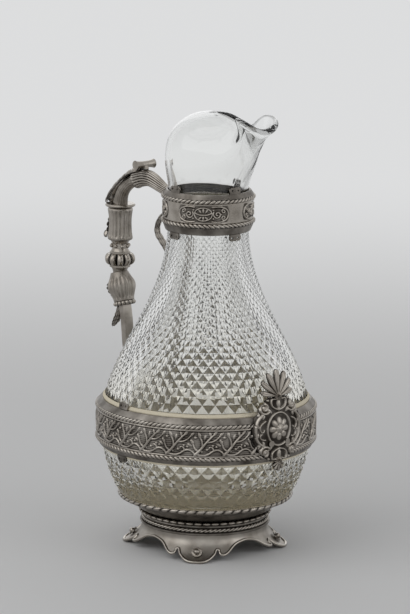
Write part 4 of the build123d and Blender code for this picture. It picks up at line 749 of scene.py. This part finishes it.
tongues = {
    "count": 48,
    "columnsEach": 16,
    "face": [(43.6, 23.3), (44.7, 23.5), (45.5, 24.2), (45.7, 24.8), (45.2, 25.4), (44.2, 25.7)],
    "back": [(36.2, 25.7), (36.2, 23.3)],
    "faceStarts": (43.0, 44.6),  # radii between which the tongues rise
    "depth": 1.0,
}


def makeTongueRing():
    # ring of upright tongues that swell outwards and down, by a power of the angle's cosine
    one = tongues
    outline = np.concatenate([smoothCurve(one["face"], 12), one["back"]])

    def swell(angle, reach, rise):
        tongue = np.abs(np.cos(0.5 * one["count"] * angle)) ** 0.55
        face = smoothStep(reach, *one["faceStarts"])
        return -one["depth"] * face * (1 - tongue), 0.08 + 0.85 * tongue * face + 0 * reach

    ring = turnedRing("FootTongues", outline, one["count"] * one["columnsEach"], swell)
    settle(ring, silverChased, "foot_tongue_ring")


# Medallion: a generic palmette badge

edgeOfFrame = np.linspace(-np.pi / 2, np.pi / 2, 26)
badge = {
    "radius": 77.0,  # of the cylinder that it is bent to
    "middle": 95.5,
    "half": (20.5, 23.0),
    "bend": 100.2,  # above this height it leans back
    "lean": 0.11,
    "front": 77.6,
    "thick": 1.5,
    "rays": 360,
    "rings": 70,
    "paired": {  # work above the middle that has its mirror image below
        "lines": [
            (spiral((11.6, 15.2), 4.3, 0.7, 1.5, -2.4), 0.95, 1.9),
            (smoothCurve([(0.0, 13.2), (3.6, 14.2), (6.2, 17.2), (5.4, 20.4), (2.8, 20.2)], 16),
             0.8, 1.7, 0.3),
        ],
        "leaves": [((7.4, 12.6), 0.8, 2.8, 1.3, 1.4), ((16.2, 10.8), 0.9, 2.6, 1.3, 1.5),
                   ((12.4, 9.0), 2.0, 2.2, 1.1, 1.3), ((17.0, 3.4), 1.3, 2.4, 1.0, 1.4)],
        "berries": [((11.6, 15.2), 1.4, 1.9), ((8.6, 20.0), 1.1, 1.3), ((18.6, 14.6), 1.0, 1.2)],
    },
    "single": {
        "lines": [
            (np.stack([9.6 * np.cos(edgeOfFrame), 11.2 * np.sin(edgeOfFrame)], axis=1), 0.75, 1.3),
            (smoothCurve([(13.2, 10.6), (17.2, 6.6), (18.4, 0), (17.2, -6.6), (13.2, -10.6)], 16), 0.95, 1.9),
            (smoothCurve([(11.4, 6.4), (14.6, 4.2), (15.4, 0.8), (13.6, -1.2), (12.2, 0.4)], 14),
             0.7, 1.5, 0.4),
            (smoothCurve([(11.4, -6.4), (14.4, -5.6), (15.2, -3.4), (13.9, -2.2)], 12), 0.65, 1.4, 0.4),
        ],
        "leaves": [((0.0, 17.0), 1.57, 4.2, 1.9, 1.8), ((0.0, -17.4), 1.57, 4.2, 1.9, 1.8)],
        "berries": [((0, 0), 2.5, 2.3)],
    },
    "petals": {"count": 8, "reach": 8.2, "rise": 1.7, "grooveAt": 3.0},
    "fans": {
        # foot, length, leaves, spread of a leaf, rise, rays, rings, out of the plate, downwards
        "medallion_crest": (117.4, 18.0, 7, 0.45, 1.5, 420, 30, 0.2, False),
        "medallion_pendant": (73.6, 7.2, 5, 0.5, 1.3, 260, 20, -0.2, True),
    },
}


def closedPiece(name, grid, relief, material, *nodes):
    # a grid whose first and last rows are closed on their middles
    settle(meshFromGrid(name, grid, caps=(True, True), relief=relief + 0 * grid[..., 0]), material, *nodes)


def fanPiece(name, nodes, foot, edge, relief, rays, rings, out=0.0, down=False):
    # polar sheet round a point of the band: edge gives its reach by direction, relief its
    # height by place; the front runs from the middle to the edge, the back returns
    one = badge
    way = around(rays)
    share = np.linspace(0.02, 1, rings)[:, None]
    reach = share * edge(way)
    x = reach * np.sin(way)
    y = reach * np.cos(way) * (-1 if down else 1)
    high = relief(x, y, share, way)
    front = one["front"] + out + high * (0.25 + 0.75 * smoothStep(1 - share, 0, 0.04))
    back = np.full_like(front, one["front"] + out - one["thick"])
    height = np.concatenate([y, y[::-1]]) + foot
    radius = np.concatenate([front, back]) - one["lean"] * np.clip(height - one["bend"], 0, None)
    grid = turned(radius, np.concatenate([x, x[::-1]]) / one["radius"], height)
    depth = np.clip(0.24 + 0.45 * np.concatenate([high, 0 * high]), 0, 1)
    if not down:
        grid, depth = grid[:, ::-1], depth[:, ::-1]
    closedPiece(name, grid, depth, silverChased, *nodes)


def badgeRelief(x, y, share, way):
    # a scrolled frame, mirrored left and right, round a rosette: its petals reach further
    # where the cosine of the spin is high, and a groove runs round them
    petals = badge["petals"]
    u = np.abs(x)
    away = np.hypot(x, y)
    petal = np.abs(np.cos(0.5 * petals["count"] * np.arctan2(x, y))) ** 0.5
    dome = np.sqrt(np.clip(1 - (away / (petals["reach"] * (0.62 + 0.38 * petal))) ** 2, 0, 1))
    flower = petals["rise"] * dome * (0.55 + 0.45 * petal)
    flower = flower * (1 - 0.3 * np.exp(-((away - petals["grooveAt"]) / 0.5) ** 2))
    return np.max([raised(u, y, badge["paired"]), raised(u, -y, badge["paired"]),
                   raised(u, y, badge["single"]), flower], axis=0)


def makeBadge():
    # the plate's edge is an oval with sixteen shallow bows; crest and pendant are leaf fans
    halfWide, halfTall = badge["half"]

    def plateEdge(way):
        oval = 1 / np.hypot(np.sin(way) / halfWide, np.cos(way) / halfTall)
        return oval * (0.93 + 0.07 * np.abs(np.cos(8 * way)) ** 0.6)

    fanPiece("MedallionPlate", ["medallion_plate", "medallion_frame", "medallion_rosette"],
             badge["middle"], plateEdge, badgeRelief, badge["rays"], badge["rings"])
    for node, (foot, length, leaves, spread, rise, *rest) in badge["fans"].items():
        half = 0.5 * leaves * spread

        def fanEdge(way):
            lean = (way + np.pi) % turn - np.pi
            lobe = np.abs(np.cos(np.pi * lean / spread)) ** 0.55
            inFan = smoothStep(half - np.abs(lean), -0.02, 0.05)
            tall = length * (1 - 0.30 * (lean / half) ** 2)
            return 3.2 + inFan * (0.35 * tall - 3.2 + 0.65 * tall * lobe)

        def fanRelief(x, y, share, way):
            lean = (way + np.pi) % turn - np.pi
            lobe = np.abs(np.cos(np.pi * lean / spread))
            vein = np.exp(-((1 - lobe) / 0.04) ** 2)
            swell = lobe ** 0.7 * (0.65 + 0.35 * np.sin(np.pi * share)) * (1 - 0.3 * vein)
            return rise * swell + berry(x, y, (0, 0), 2.4, 1.2)

        fanPiece(node.title().replace("_", ""), [node], foot, fanEdge, fanRelief, *rest)


# Handle

lowerLean = math.radians(16.5)  # of the lower members, outwards
upperAxis = ((-97.5, 0.0, 0.0), (0.0, 0.0, 1.0))  # origin and direction
lowerAxis = ((-97.5, 0.0, 172.2), (-math.sin(lowerLean), 0.0, math.cos(lowerLean)))
members = {
    # axis, columns, rows, profile of radius and distance along the axis
    "UpperBaluster": (upperAxis, 240, 60, [
        (6.4, 197.6), (8.6, 198.5), (8.8, 199.6), (8.5, 202.0), (8.0, 209.0), (8.5, 217.0), (8.4, 220.5),
        (6.5, 221.6)]),
    "LowerBaluster": (lowerAxis, 240, 50, [
        (7.2, -18.0), (7.4, -16.5), (9.2, -11.0), (9.9, -6.2), (7.9, -1.5), (6.1, 2.6)]),
    "Knop": (upperAxis, 288, 34, [
        (6.4, 180.2), (8.6, 180.6), (10.3, 182.2), (10.9, 184.4), (10.3, 186.6), (8.6, 188.2), (6.4, 188.6)]),
    "BeadRing": (lowerAxis, 256, 16, [(7.0, -21.0), (7.3, -19.5), (7.0, -18.0)]),
    "pleats": 16,
    "pleatEnd": 2.0,  # length over which a pleat dies out
    "lobes": 10,
    "lobeDepth": 3.4,
    "lobeMiddle": (184.4, 4.3),  # height, half length
    "beads": 16,
    "beadSize": 1.1,
    "beadMiddle": (-19.5, 1.5),
}
horns = {
    # node, ribs, their depth, their spin, columns, rows, flare at the end, then the line:
    # distance from the axis, height, radius
    "Horn": ("handle_arm", 18, 0.17, 0.9, 216, 80, 0.05, [
        (-34.3, 237.6, 4.6), (-42.0, 238.6, 3.7), (-52.0, 241.6, 4.3), (-64.0, 245.4, 5.5),
        (-78.0, 243.4, 6.3)]),
    "HornNeck": ("handle_elbow", 20, 0.05, 0.3, 160, 50, 0.0, [
        (-78.0, 243.4, 5.2), (-84.5, 241.0, 4.7), (-90.4, 236.9, 4.5), (-95.6, 230.3, 4.6),
        (-97.5, 223.6, 5.2)]),
}
straps = {
    # node, thickness, sideways bend, lobes, their depth, then the line: distance from the
    # axis, height, half width
    "ShoulderLeaf": ("handle_leaf", 1.8, 2.8, 7, 0.16, [
        (-72.8, 252.7, 6.2), (-80.0, 250.3, 7.3), (-92.0, 243.2, 6.3), (-104.0, 233.6, 5.4),
        (-109.4, 226.5, 5.6), (-112.0, 224.8, 1.8)]),
    "UpperLeaf": ("handle_upper_leaf", 1.2, 2.0, 6, 0.28, [
        (-105.4, 217.0, 2.4), (-106.6, 212.0, 5.4), (-106.8, 205.0, 6.6), (-108.0, 201.2, 5.4),
        (-110.2, 200.2, 3.6), (-110.6, 202.4, 2.0)]),
    "LowerLeaf": ("handle_lower_leaf", 1.2, 1.9, 6, 0.28, [
        (-106.2, 168.6, 2.4), (-107.3, 164.4, 5.6), (-105.6, 160.0, 6.0), (-102.6, 156.0, 4.2),
        (-101.6, 153.2, 1.6)]),
    "HangingLeaf": ("handle_drop", 1.3, 0.5, 5, 0.3, [
        (-98.2, 150.1, 2.2), (-99.4, 144.5, 3.4), (-102.2, 139.0, 3.4), (-105.4, 135.2, 1.2)]),
    "CollarLeaf": ("handle_bracket", 1.6, 0.4, 9, 0.2, [
        (-34.3, 229.0, 3.0), (-46.0, 224.4, 2.4), (-54.6, 216.0, 2.4), (-55.6, 209.5, 2.6),
        (-50.4, 203.8, 3.0), (-44.6, 196.6, 1.0)]),
}
strapGrain = {
    "rows": 90,
    "columns": 40,
    "veins": 3,
    "veinHeight": 0.32,
    "spineHeight": 0.35,
    "spineWidth": 0.12,
}


def turnedMember(name, node, material, swell):
    # a radius against distance along an axis that lies in the plane of the lip; angle 0 is
    # on the outer side, and swell gives the change of radius and the relief
    (origin, axis), columns, rows, profile = members[name]
    line = smoothCurve(profile, rows)
    up = np.array(axis)
    outer = np.array([-up[2], 0.0, up[0]])
    across = np.cross(up, outer)
    angle = around(columns)
    move, relief = swell(angle, line[:, 1:])
    reach = (line[:, :1] + move)[..., None]
    spoke = np.cos(angle)[..., None] * outer + np.sin(angle)[..., None] * across
    grid = np.array(origin) + line[:, 1:, None] * up + reach * spoke
    closedPiece(name, grid, relief, material, node)


def makeMembers():
    # pleats, beads and the knop's lobes follow the cosine of half their number times the
    # angle, raised to a power, and die out towards the ends
    one = members

    def pleats(depth, low, high):
        def swell(angle, rise):
            fold = np.abs(np.cos(0.5 * one["pleats"] * angle))
            end = one["pleatEnd"]
            there = smoothStep(rise, low, low + end) * (1 - smoothStep(rise, high - end, high))
            relief = 0.42 + 0.4 * fold * there - 0.35 * (1 - fold) ** 2 * there
            return -depth * there * (1 - fold ** 0.7), relief
        return swell

    def lobes(angle, rise):
        middle, half = one["lobeMiddle"]
        lobe = np.sqrt(np.clip(1 - (1 - np.abs(np.cos(0.5 * one["lobes"] * angle))) ** 1.1, 0, 1))
        there = smoothStep(half - np.abs(rise - middle), 0, 1.2)
        return -one["lobeDepth"] * (1 - lobe) * there, 0.02 + 0.9 * lobe ** 2

    def beads(angle, rise):
        middle, half = one["beadMiddle"]
        bead = np.abs(np.cos(0.5 * one["beads"] * angle)) ** 0.7
        there = np.sqrt(np.clip(1 - ((rise - middle) / half) ** 2, 0, 1))
        return one["beadSize"] * bead * there - 0.3, 0.1 + 0.9 * bead * there

    turnedMember("UpperBaluster", "handle_upper_baluster", silverSatin, pleats(1.0, 199.4, 219.6))
    turnedMember("LowerBaluster", "handle_lower_baluster", silverSatin, pleats(0.9, -17.0, -0.5))
    turnedMember("Knop", "handle_knop", silverChased, lobes)
    turnedMember("BeadRing", "handle_lower_ring", silverChased, beads)


def planeLine(path, rows):
    # a spline in the plane of the lip that carries a third number, with its points, its
    # direction and its normal in that plane
    line = smoothCurve(path, rows)
    run = unit(np.gradient(line[:, :2], axis=0))
    level = 0 * line[:, 0]
    points = np.stack([line[:, 0], level, line[:, 1]], axis=1)[:, None, :]
    along = np.stack([run[:, 0], level, run[:, 1]], axis=1)
    normal = np.stack([run[:, 1], level, -run[:, 0]], axis=1)
    return points, line[:, 2:], along, normal


def makeHorn(name, node, ribs, depth, spin, columns, rows, flare, path):
    # round section carried along a line, ribbed by the cosine of an angle that turns slowly
    # along the line
    points, radius, along, normal = planeLine(path, rows)
    up = normal * np.sign(normal[0, 2])
    side = np.cross(along, up)[:, None, :]
    angle = around(columns)
    share = np.linspace(0, 1, rows)[:, None]
    rib = np.abs(np.cos(0.5 * ribs * (angle + spin * share)))
    there = smoothStep(share, 0.0, 0.06) * (1 - smoothStep(share, 0.94, 1.0))
    ending = 1 + flare * np.exp(-((1 - share) / 0.03) ** 2)
    reach = (radius * ending * (1 - depth * (1 - rib ** 0.7) * there))[..., None]
    grid = points + reach * (np.cos(angle)[..., None] * up[:, None, :] + np.sin(angle)[..., None] * side)
    relief = 0.1 + 0.85 * rib * there + 0.35 * (1 - there)
    closedPiece(name, grid, relief, silverChased if node == "handle_arm" else silverSatin, node)


def makeStrap(name, node, thick, sideBend, lobes, lobeDepth, path):
    # leaf or strap along a line: its edge is cut into lobes by a sine, it bends over sideways
    # with the square of the distance from its spine, and it carries fine veins
    one = strapGrain
    points, halfWidth, along, normal = planeLine(path, one["rows"])
    out = normal * np.sign(normal[0] @ np.array([-1.0, 0, 0.6]))
    share = np.linspace(0, 1, one["rows"])[:, None]
    cut = 1 - lobeDepth * (1 - np.abs(np.sin(np.pi * lobes * share)) ** 0.7)
    half = one["columns"] // 2
    t = np.linspace(-1, 1, half)
    t = np.concatenate([t, t[::-1]])[None, :]  # over the top and back underneath
    y = halfWidth * cut * t
    veins = np.cos(np.pi * one["veins"] * t) * 0.5 + 0.5
    spine = np.exp(-(t / one["spineWidth"]) ** 2)
    onTop = np.concatenate([np.ones(half), np.zeros(half)])[None, :]
    edge = np.sqrt(np.clip(1 - t ** 6, 0.05, 1))
    top = 0.5 * thick * edge + one["veinHeight"] * veins * edge + one["spineHeight"] * spine
    lift = onTop * top - (1 - onTop) * 0.5 * thick * edge - sideBend * t ** 2
    grid = points + lift[..., None] * out[:, None, :] + y[..., None] * np.array([0.0, 1.0, 0.0])
    relief = np.clip(0.42 + 0.3 * veins + onTop * (0.1 * veins + 0.3 * spine) - 0.9 * (1 - cut), 0, 1)
    if np.cross(out[0], along[0])[1] > 0:
        grid, relief = grid[:, ::-1], relief[:, ::-1]
    closedPiece(name, grid, relief, silverChased, node)


# Knurled rim of the cup

cupRim = {
    "radius": 58.9,
    "height": 36.5,
    "thick": 1.4,
    "steps": 14,  # round the roll
    "waves": 60,
    "depth": 0.45,
    "columns": 960,
}


def makeCupRim():
    # roll whose thickness follows a power of the angle's cosine, slanting round the roll
    one = cupRim
    bow = around(one["steps"]).T
    outline = (one["radius"], one["height"]) + one["thick"] * np.hstack([np.cos(bow), np.sin(bow)])

    def swell(angle, reach, rise):
        roundIt = np.arctan2(rise - one["height"], reach - one["radius"])
        wave = np.abs(np.cos(0.5 * one["waves"] * angle - 0.5 * roundIt)) ** 0.7
        return one["depth"] * (wave - 1), 0.05 + 0.75 * wave

    settle(turnedRing("CupRim", outline, one["columns"], swell), silverChased)


# Apron of the foot and its rolled edge

apron = {
    "outline": [(43.2, 16.3), (43.4, 13.0), (46.5, 8.0), (52.2, 3.0), (56.2, 0.9)],  # radius, height
    "halfToe": [(30.7, 11.7), (24.2, 9.4), (18.2, 4.4), (15.8, 5.0), (14.4, 7.4), (12.7, 7.4), (12.0, 5.6),
                (10.6, 3.8), (8.2, 2.2), (4.6, 1.2), (0.0, 1.0)],  # distance from the toe's middle, height
    "thick": 1.5,
    "plate": [(42.4, 16.3), (4.9, 16.3), (4.5, 16.3), (4.5, 14.5), (4.9, 14.5),
              (41.0, 14.5)],  # round the bolt
    "rollRadius": 1.0,
    "rollSteps": 10,
    "toes": (45, 135, 225, 315),
    "toeSteps": 70,
    "columns": 1440,
    "rows": 26,
}


def makeApron():
    # shell of the turned outline that ends at the scalloped edge: the edge is a height against
    # the distance from a toe's middle, mirrored and repeated at each toe, with a tube along it
    one = apron
    fine = smoothCurve(one["outline"], 400)[::-1]
    half = evenSteps(smoothCurve(one["halfToe"], 400), one["toeSteps"])
    reach = np.interp(half[:, 1], fine[:, 1], fine[:, 0])
    edgeAngle = np.arcsin(half[:, 0] / reach)
    order = np.argsort(edgeAngle)
    angle = around(one["columns"])
    fromToe = np.abs(angle % (turn / 4) - turn / 8)
    low = np.interp(fromToe, edgeAngle[order], half[order, 1])
    share = np.linspace(1, 0, one["rows"])[:, None]
    top = fine[-1, 1]
    height = top + share * (low - top)
    radius = np.interp(height, fine[:, 1], fine[:, 0])
    slope = np.interp(height, fine[:, 1], np.gradient(fine[:, 0], fine[:, 1]))
    steep = np.hypot(1, slope)
    insideRadius = radius - one["thick"] / steep
    insideHeight = np.clip(height + one["thick"] * slope / steep, 0.05, one["plate"][-1][1])
    plate = np.array(one["plate"])[:, :, None] + 0 * angle
    rings = np.concatenate([radius, plate[:, 0], insideRadius[::-1]])
    levels = np.concatenate([height, plate[:, 1], insideHeight[::-1]])
    settle(meshFromGrid("FootApron", turned(rings, angle, levels), ring=True), silverSatin, "foot_apron")

    both = np.concatenate([half * np.array([-1, 1]), half[::-1][1:-1]])
    reach = np.interp(both[:, 1], fine[:, 1], fine[:, 0])
    out = np.sqrt(reach ** 2 - both[:, 0] ** 2)
    toe = np.radians(one["toes"])[:, None]
    aside, rise = both.T
    path = np.stack([out * np.cos(toe) - aside * np.sin(toe), out * np.sin(toe) + aside * np.cos(toe),
                     rise + 0 * toe], axis=-1).reshape(-1, 3)
    run = unit(np.roll(path, -1, axis=0) - np.roll(path, 1, axis=0))
    outward = path * np.array([1, 1, 0])
    outward = unit(outward - run * np.sum(outward * run, axis=1, keepdims=True))
    side = np.cross(run, outward)
    spin = around(one["rollSteps"])[..., None]
    spoke = np.cos(spin) * outward[:, None, :] + np.sin(spin) * side[:, None, :]
    roll = path[:, None, :] + one["rollRadius"] * spoke
    roll[..., 2] = np.maximum(roll[..., 2], 0.02)
    settle(meshFromGrid("FootEdgeRoll", roll, ring=True), silverBright)


for node, sizes in ropeRings.items():
    makeRope(node, *sizes)
makeWaistFrieze()
makeCollarFrieze()
makeTongueRing()
makeBedding("FootBedding", beddings["foot"], beddings["footDisc"], "foot_packing")
makeBedding("WaistBedding", beddings["waist"], [], "waist_packing")
print("rings and friezes chased")
makeBadge()
print("medallion chased")
makeMembers()
for name, sizes in horns.items():
    makeHorn(name, *sizes)
for name, sizes in straps.items():
    makeStrap(name, *sizes)
print("handle made")
makeCupRim()
makeApron()
print("foot finished")


# Stage, light and camera

stage = {
    "floor": (0.76, 0.76, 0.76, 1.0),
    "floorRings": [9000.0, 4000.0, 1500.0, 400.0],
    "sky": (0.72, 0.725, 0.73, 1.0),
    "ambient": 0.55,
    "lamps": {  # place, width and height, power
        "key": ((-0.2, -1.3, 1.3), (1.7, 1.9), 8.0),
        "fill": ((1.6, 0.6, 0.9), (1.3, 1.5), 3.2),
        "back": ((-1.1, 0.9, 0.8), (1.1, 1.4), 2.4),
    },
    "lampTarget": (0, 0, 0.15),
    "fadeFrom": 0.35,  # metres from the object where the floor starts to pass into the sky
    "fadeTo": 1.6,
}
photoView = {
    "place": (1.865, -1.510, 0.650),
    "heading": 39.0,  # degrees from the camera's heading to the plane of the lip and handle
    "pitch": 11.42,
    "roll": 0.605,
    "focal": 3598.0,  # pixels
    "frame": (410, 614),
    "centre": (207.45, 307.43),
    "sensor": 36.0,
}


def seenRays(tree):
    # 1 for what the camera, a mirror or glass looks at, 0 for light on the object
    ray = addNode(tree, "LightPath")
    seen = addNode(tree, "Math", {0: ray["Is Camera Ray"], 1: ray["Is Glossy Ray"]}, operation="ADD")
    both = addNode(tree, "Math", {0: seen[0], 1: ray["Is Transmission Ray"]}, operation="ADD", use_clamp=True)
    return both[0]


def makeFloor():
    # flat disc; away from the object it passes into the colour of the sky
    grid = turned(np.array(stage["floorRings"])[:, None], around(96), -0.02)
    floor = meshFromGrid("floor", grid, caps=(False, True))
    material, tree, shader = newMaterial("floorPaper")
    feedNode(tree, shader, {"Base Color": stage["floor"], "Roughness": 0.9, "Specular IOR Level": 0.1})
    place = addNode(tree, "TexCoord")["Object"]
    away = addNode(tree, "VectorMath", {0: place}, operation="LENGTH")["Value"]
    fade = addNode(tree, "MapRange", {
        "From Min": stage["fadeFrom"], "From Max": stage["fadeTo"], "Value": away},
        interpolation_type="SMOOTHSTEP")["Result"]
    share = addNode(tree, "Math", {0: fade, 1: seenRays(tree)}, operation="MULTIPLY")[0]
    glow = addNode(tree, "Emission", {"Color": stage["sky"]})[0]
    mix = addNode(tree, "MixShader", {0: share, 1: shader.outputs[0], 2: glow})[0]
    feedNode(tree, tree.nodes["Material Output"], {"Surface": mix})
    floor.data.materials.append(material)


def makeWorld():
    # even soft light, and the same pale ground for what looks at it, mirrors it or bends it
    world = bpy.data.worlds.new("studio")
    bpy.context.scene.world = world
    world.use_nodes = True
    tree = world.node_tree
    level = addNode(tree, "MapRange", {
        "To Min": stage["ambient"], "To Max": 1.0, "Value": seenRays(tree)})["Result"]
    feedNode(tree, tree.nodes["Background"], {"Color": stage["sky"], "Strength": level})


def addLamp(name, place, size, power):
    # rectangular lamp that faces the lamp target
    lamp = bpy.data.lights.new(name, "AREA")
    lamp.shape = "RECTANGLE"
    lamp.size, lamp.size_y = size
    lamp.energy = power
    holder = bpy.data.objects.new(name, lamp)
    holder.location = place
    holder.rotation_mode = "QUATERNION"
    holder.rotation_quaternion = (Vector(stage["lampTarget"]) - Vector(place)).to_track_quat("-Z", "Y")
    holder.visible_transmission = False  # glass doesn't show the lamps behind it
    bpy.context.scene.collection.objects.link(holder)


def makeCamera():
    # turned to its heading, tipped down by the pitch, then rolled about its own line of sight
    camera = bpy.data.cameras.new("photoCamera")
    holder = bpy.data.objects.new("photoCamera", camera)
    bpy.context.scene.collection.objects.link(holder)
    width, tall = photoView["frame"]
    camera.sensor_width = photoView["sensor"]
    camera.lens = photoView["focal"] * camera.sensor_width / tall
    camera.shift_x = (width / 2 - photoView["centre"][0]) / tall
    camera.shift_y = (photoView["centre"][1] - tall / 2) / tall
    heading, pitch, roll = (math.radians(photoView[key]) for key in ("heading", "pitch", "roll"))
    level = Vector((-math.cos(heading), math.sin(heading), 0))
    look = level * math.cos(pitch) - Vector((0, 0, math.sin(pitch)))
    right = look.cross(Vector((0, 0, 1))).normalized()
    up = right.cross(look)
    rolledRight = right * math.cos(roll) + up * math.sin(roll)
    rolledUp = up * math.cos(roll) - right * math.sin(roll)
    attitude = Matrix((rolledRight, rolledUp, -look)).transposed().to_4x4()
    holder.matrix_world = Matrix.Translation(photoView["place"]) @ attitude
    camera.clip_end = 100
    bpy.context.scene.camera = holder


makeFloor()
makeWorld()
for name, sizes in stage["lamps"].items():
    addLamp(name, *sizes)
makeCamera()
bpy.context.scene.view_settings.view_transform = "Standard"
print("stage set")
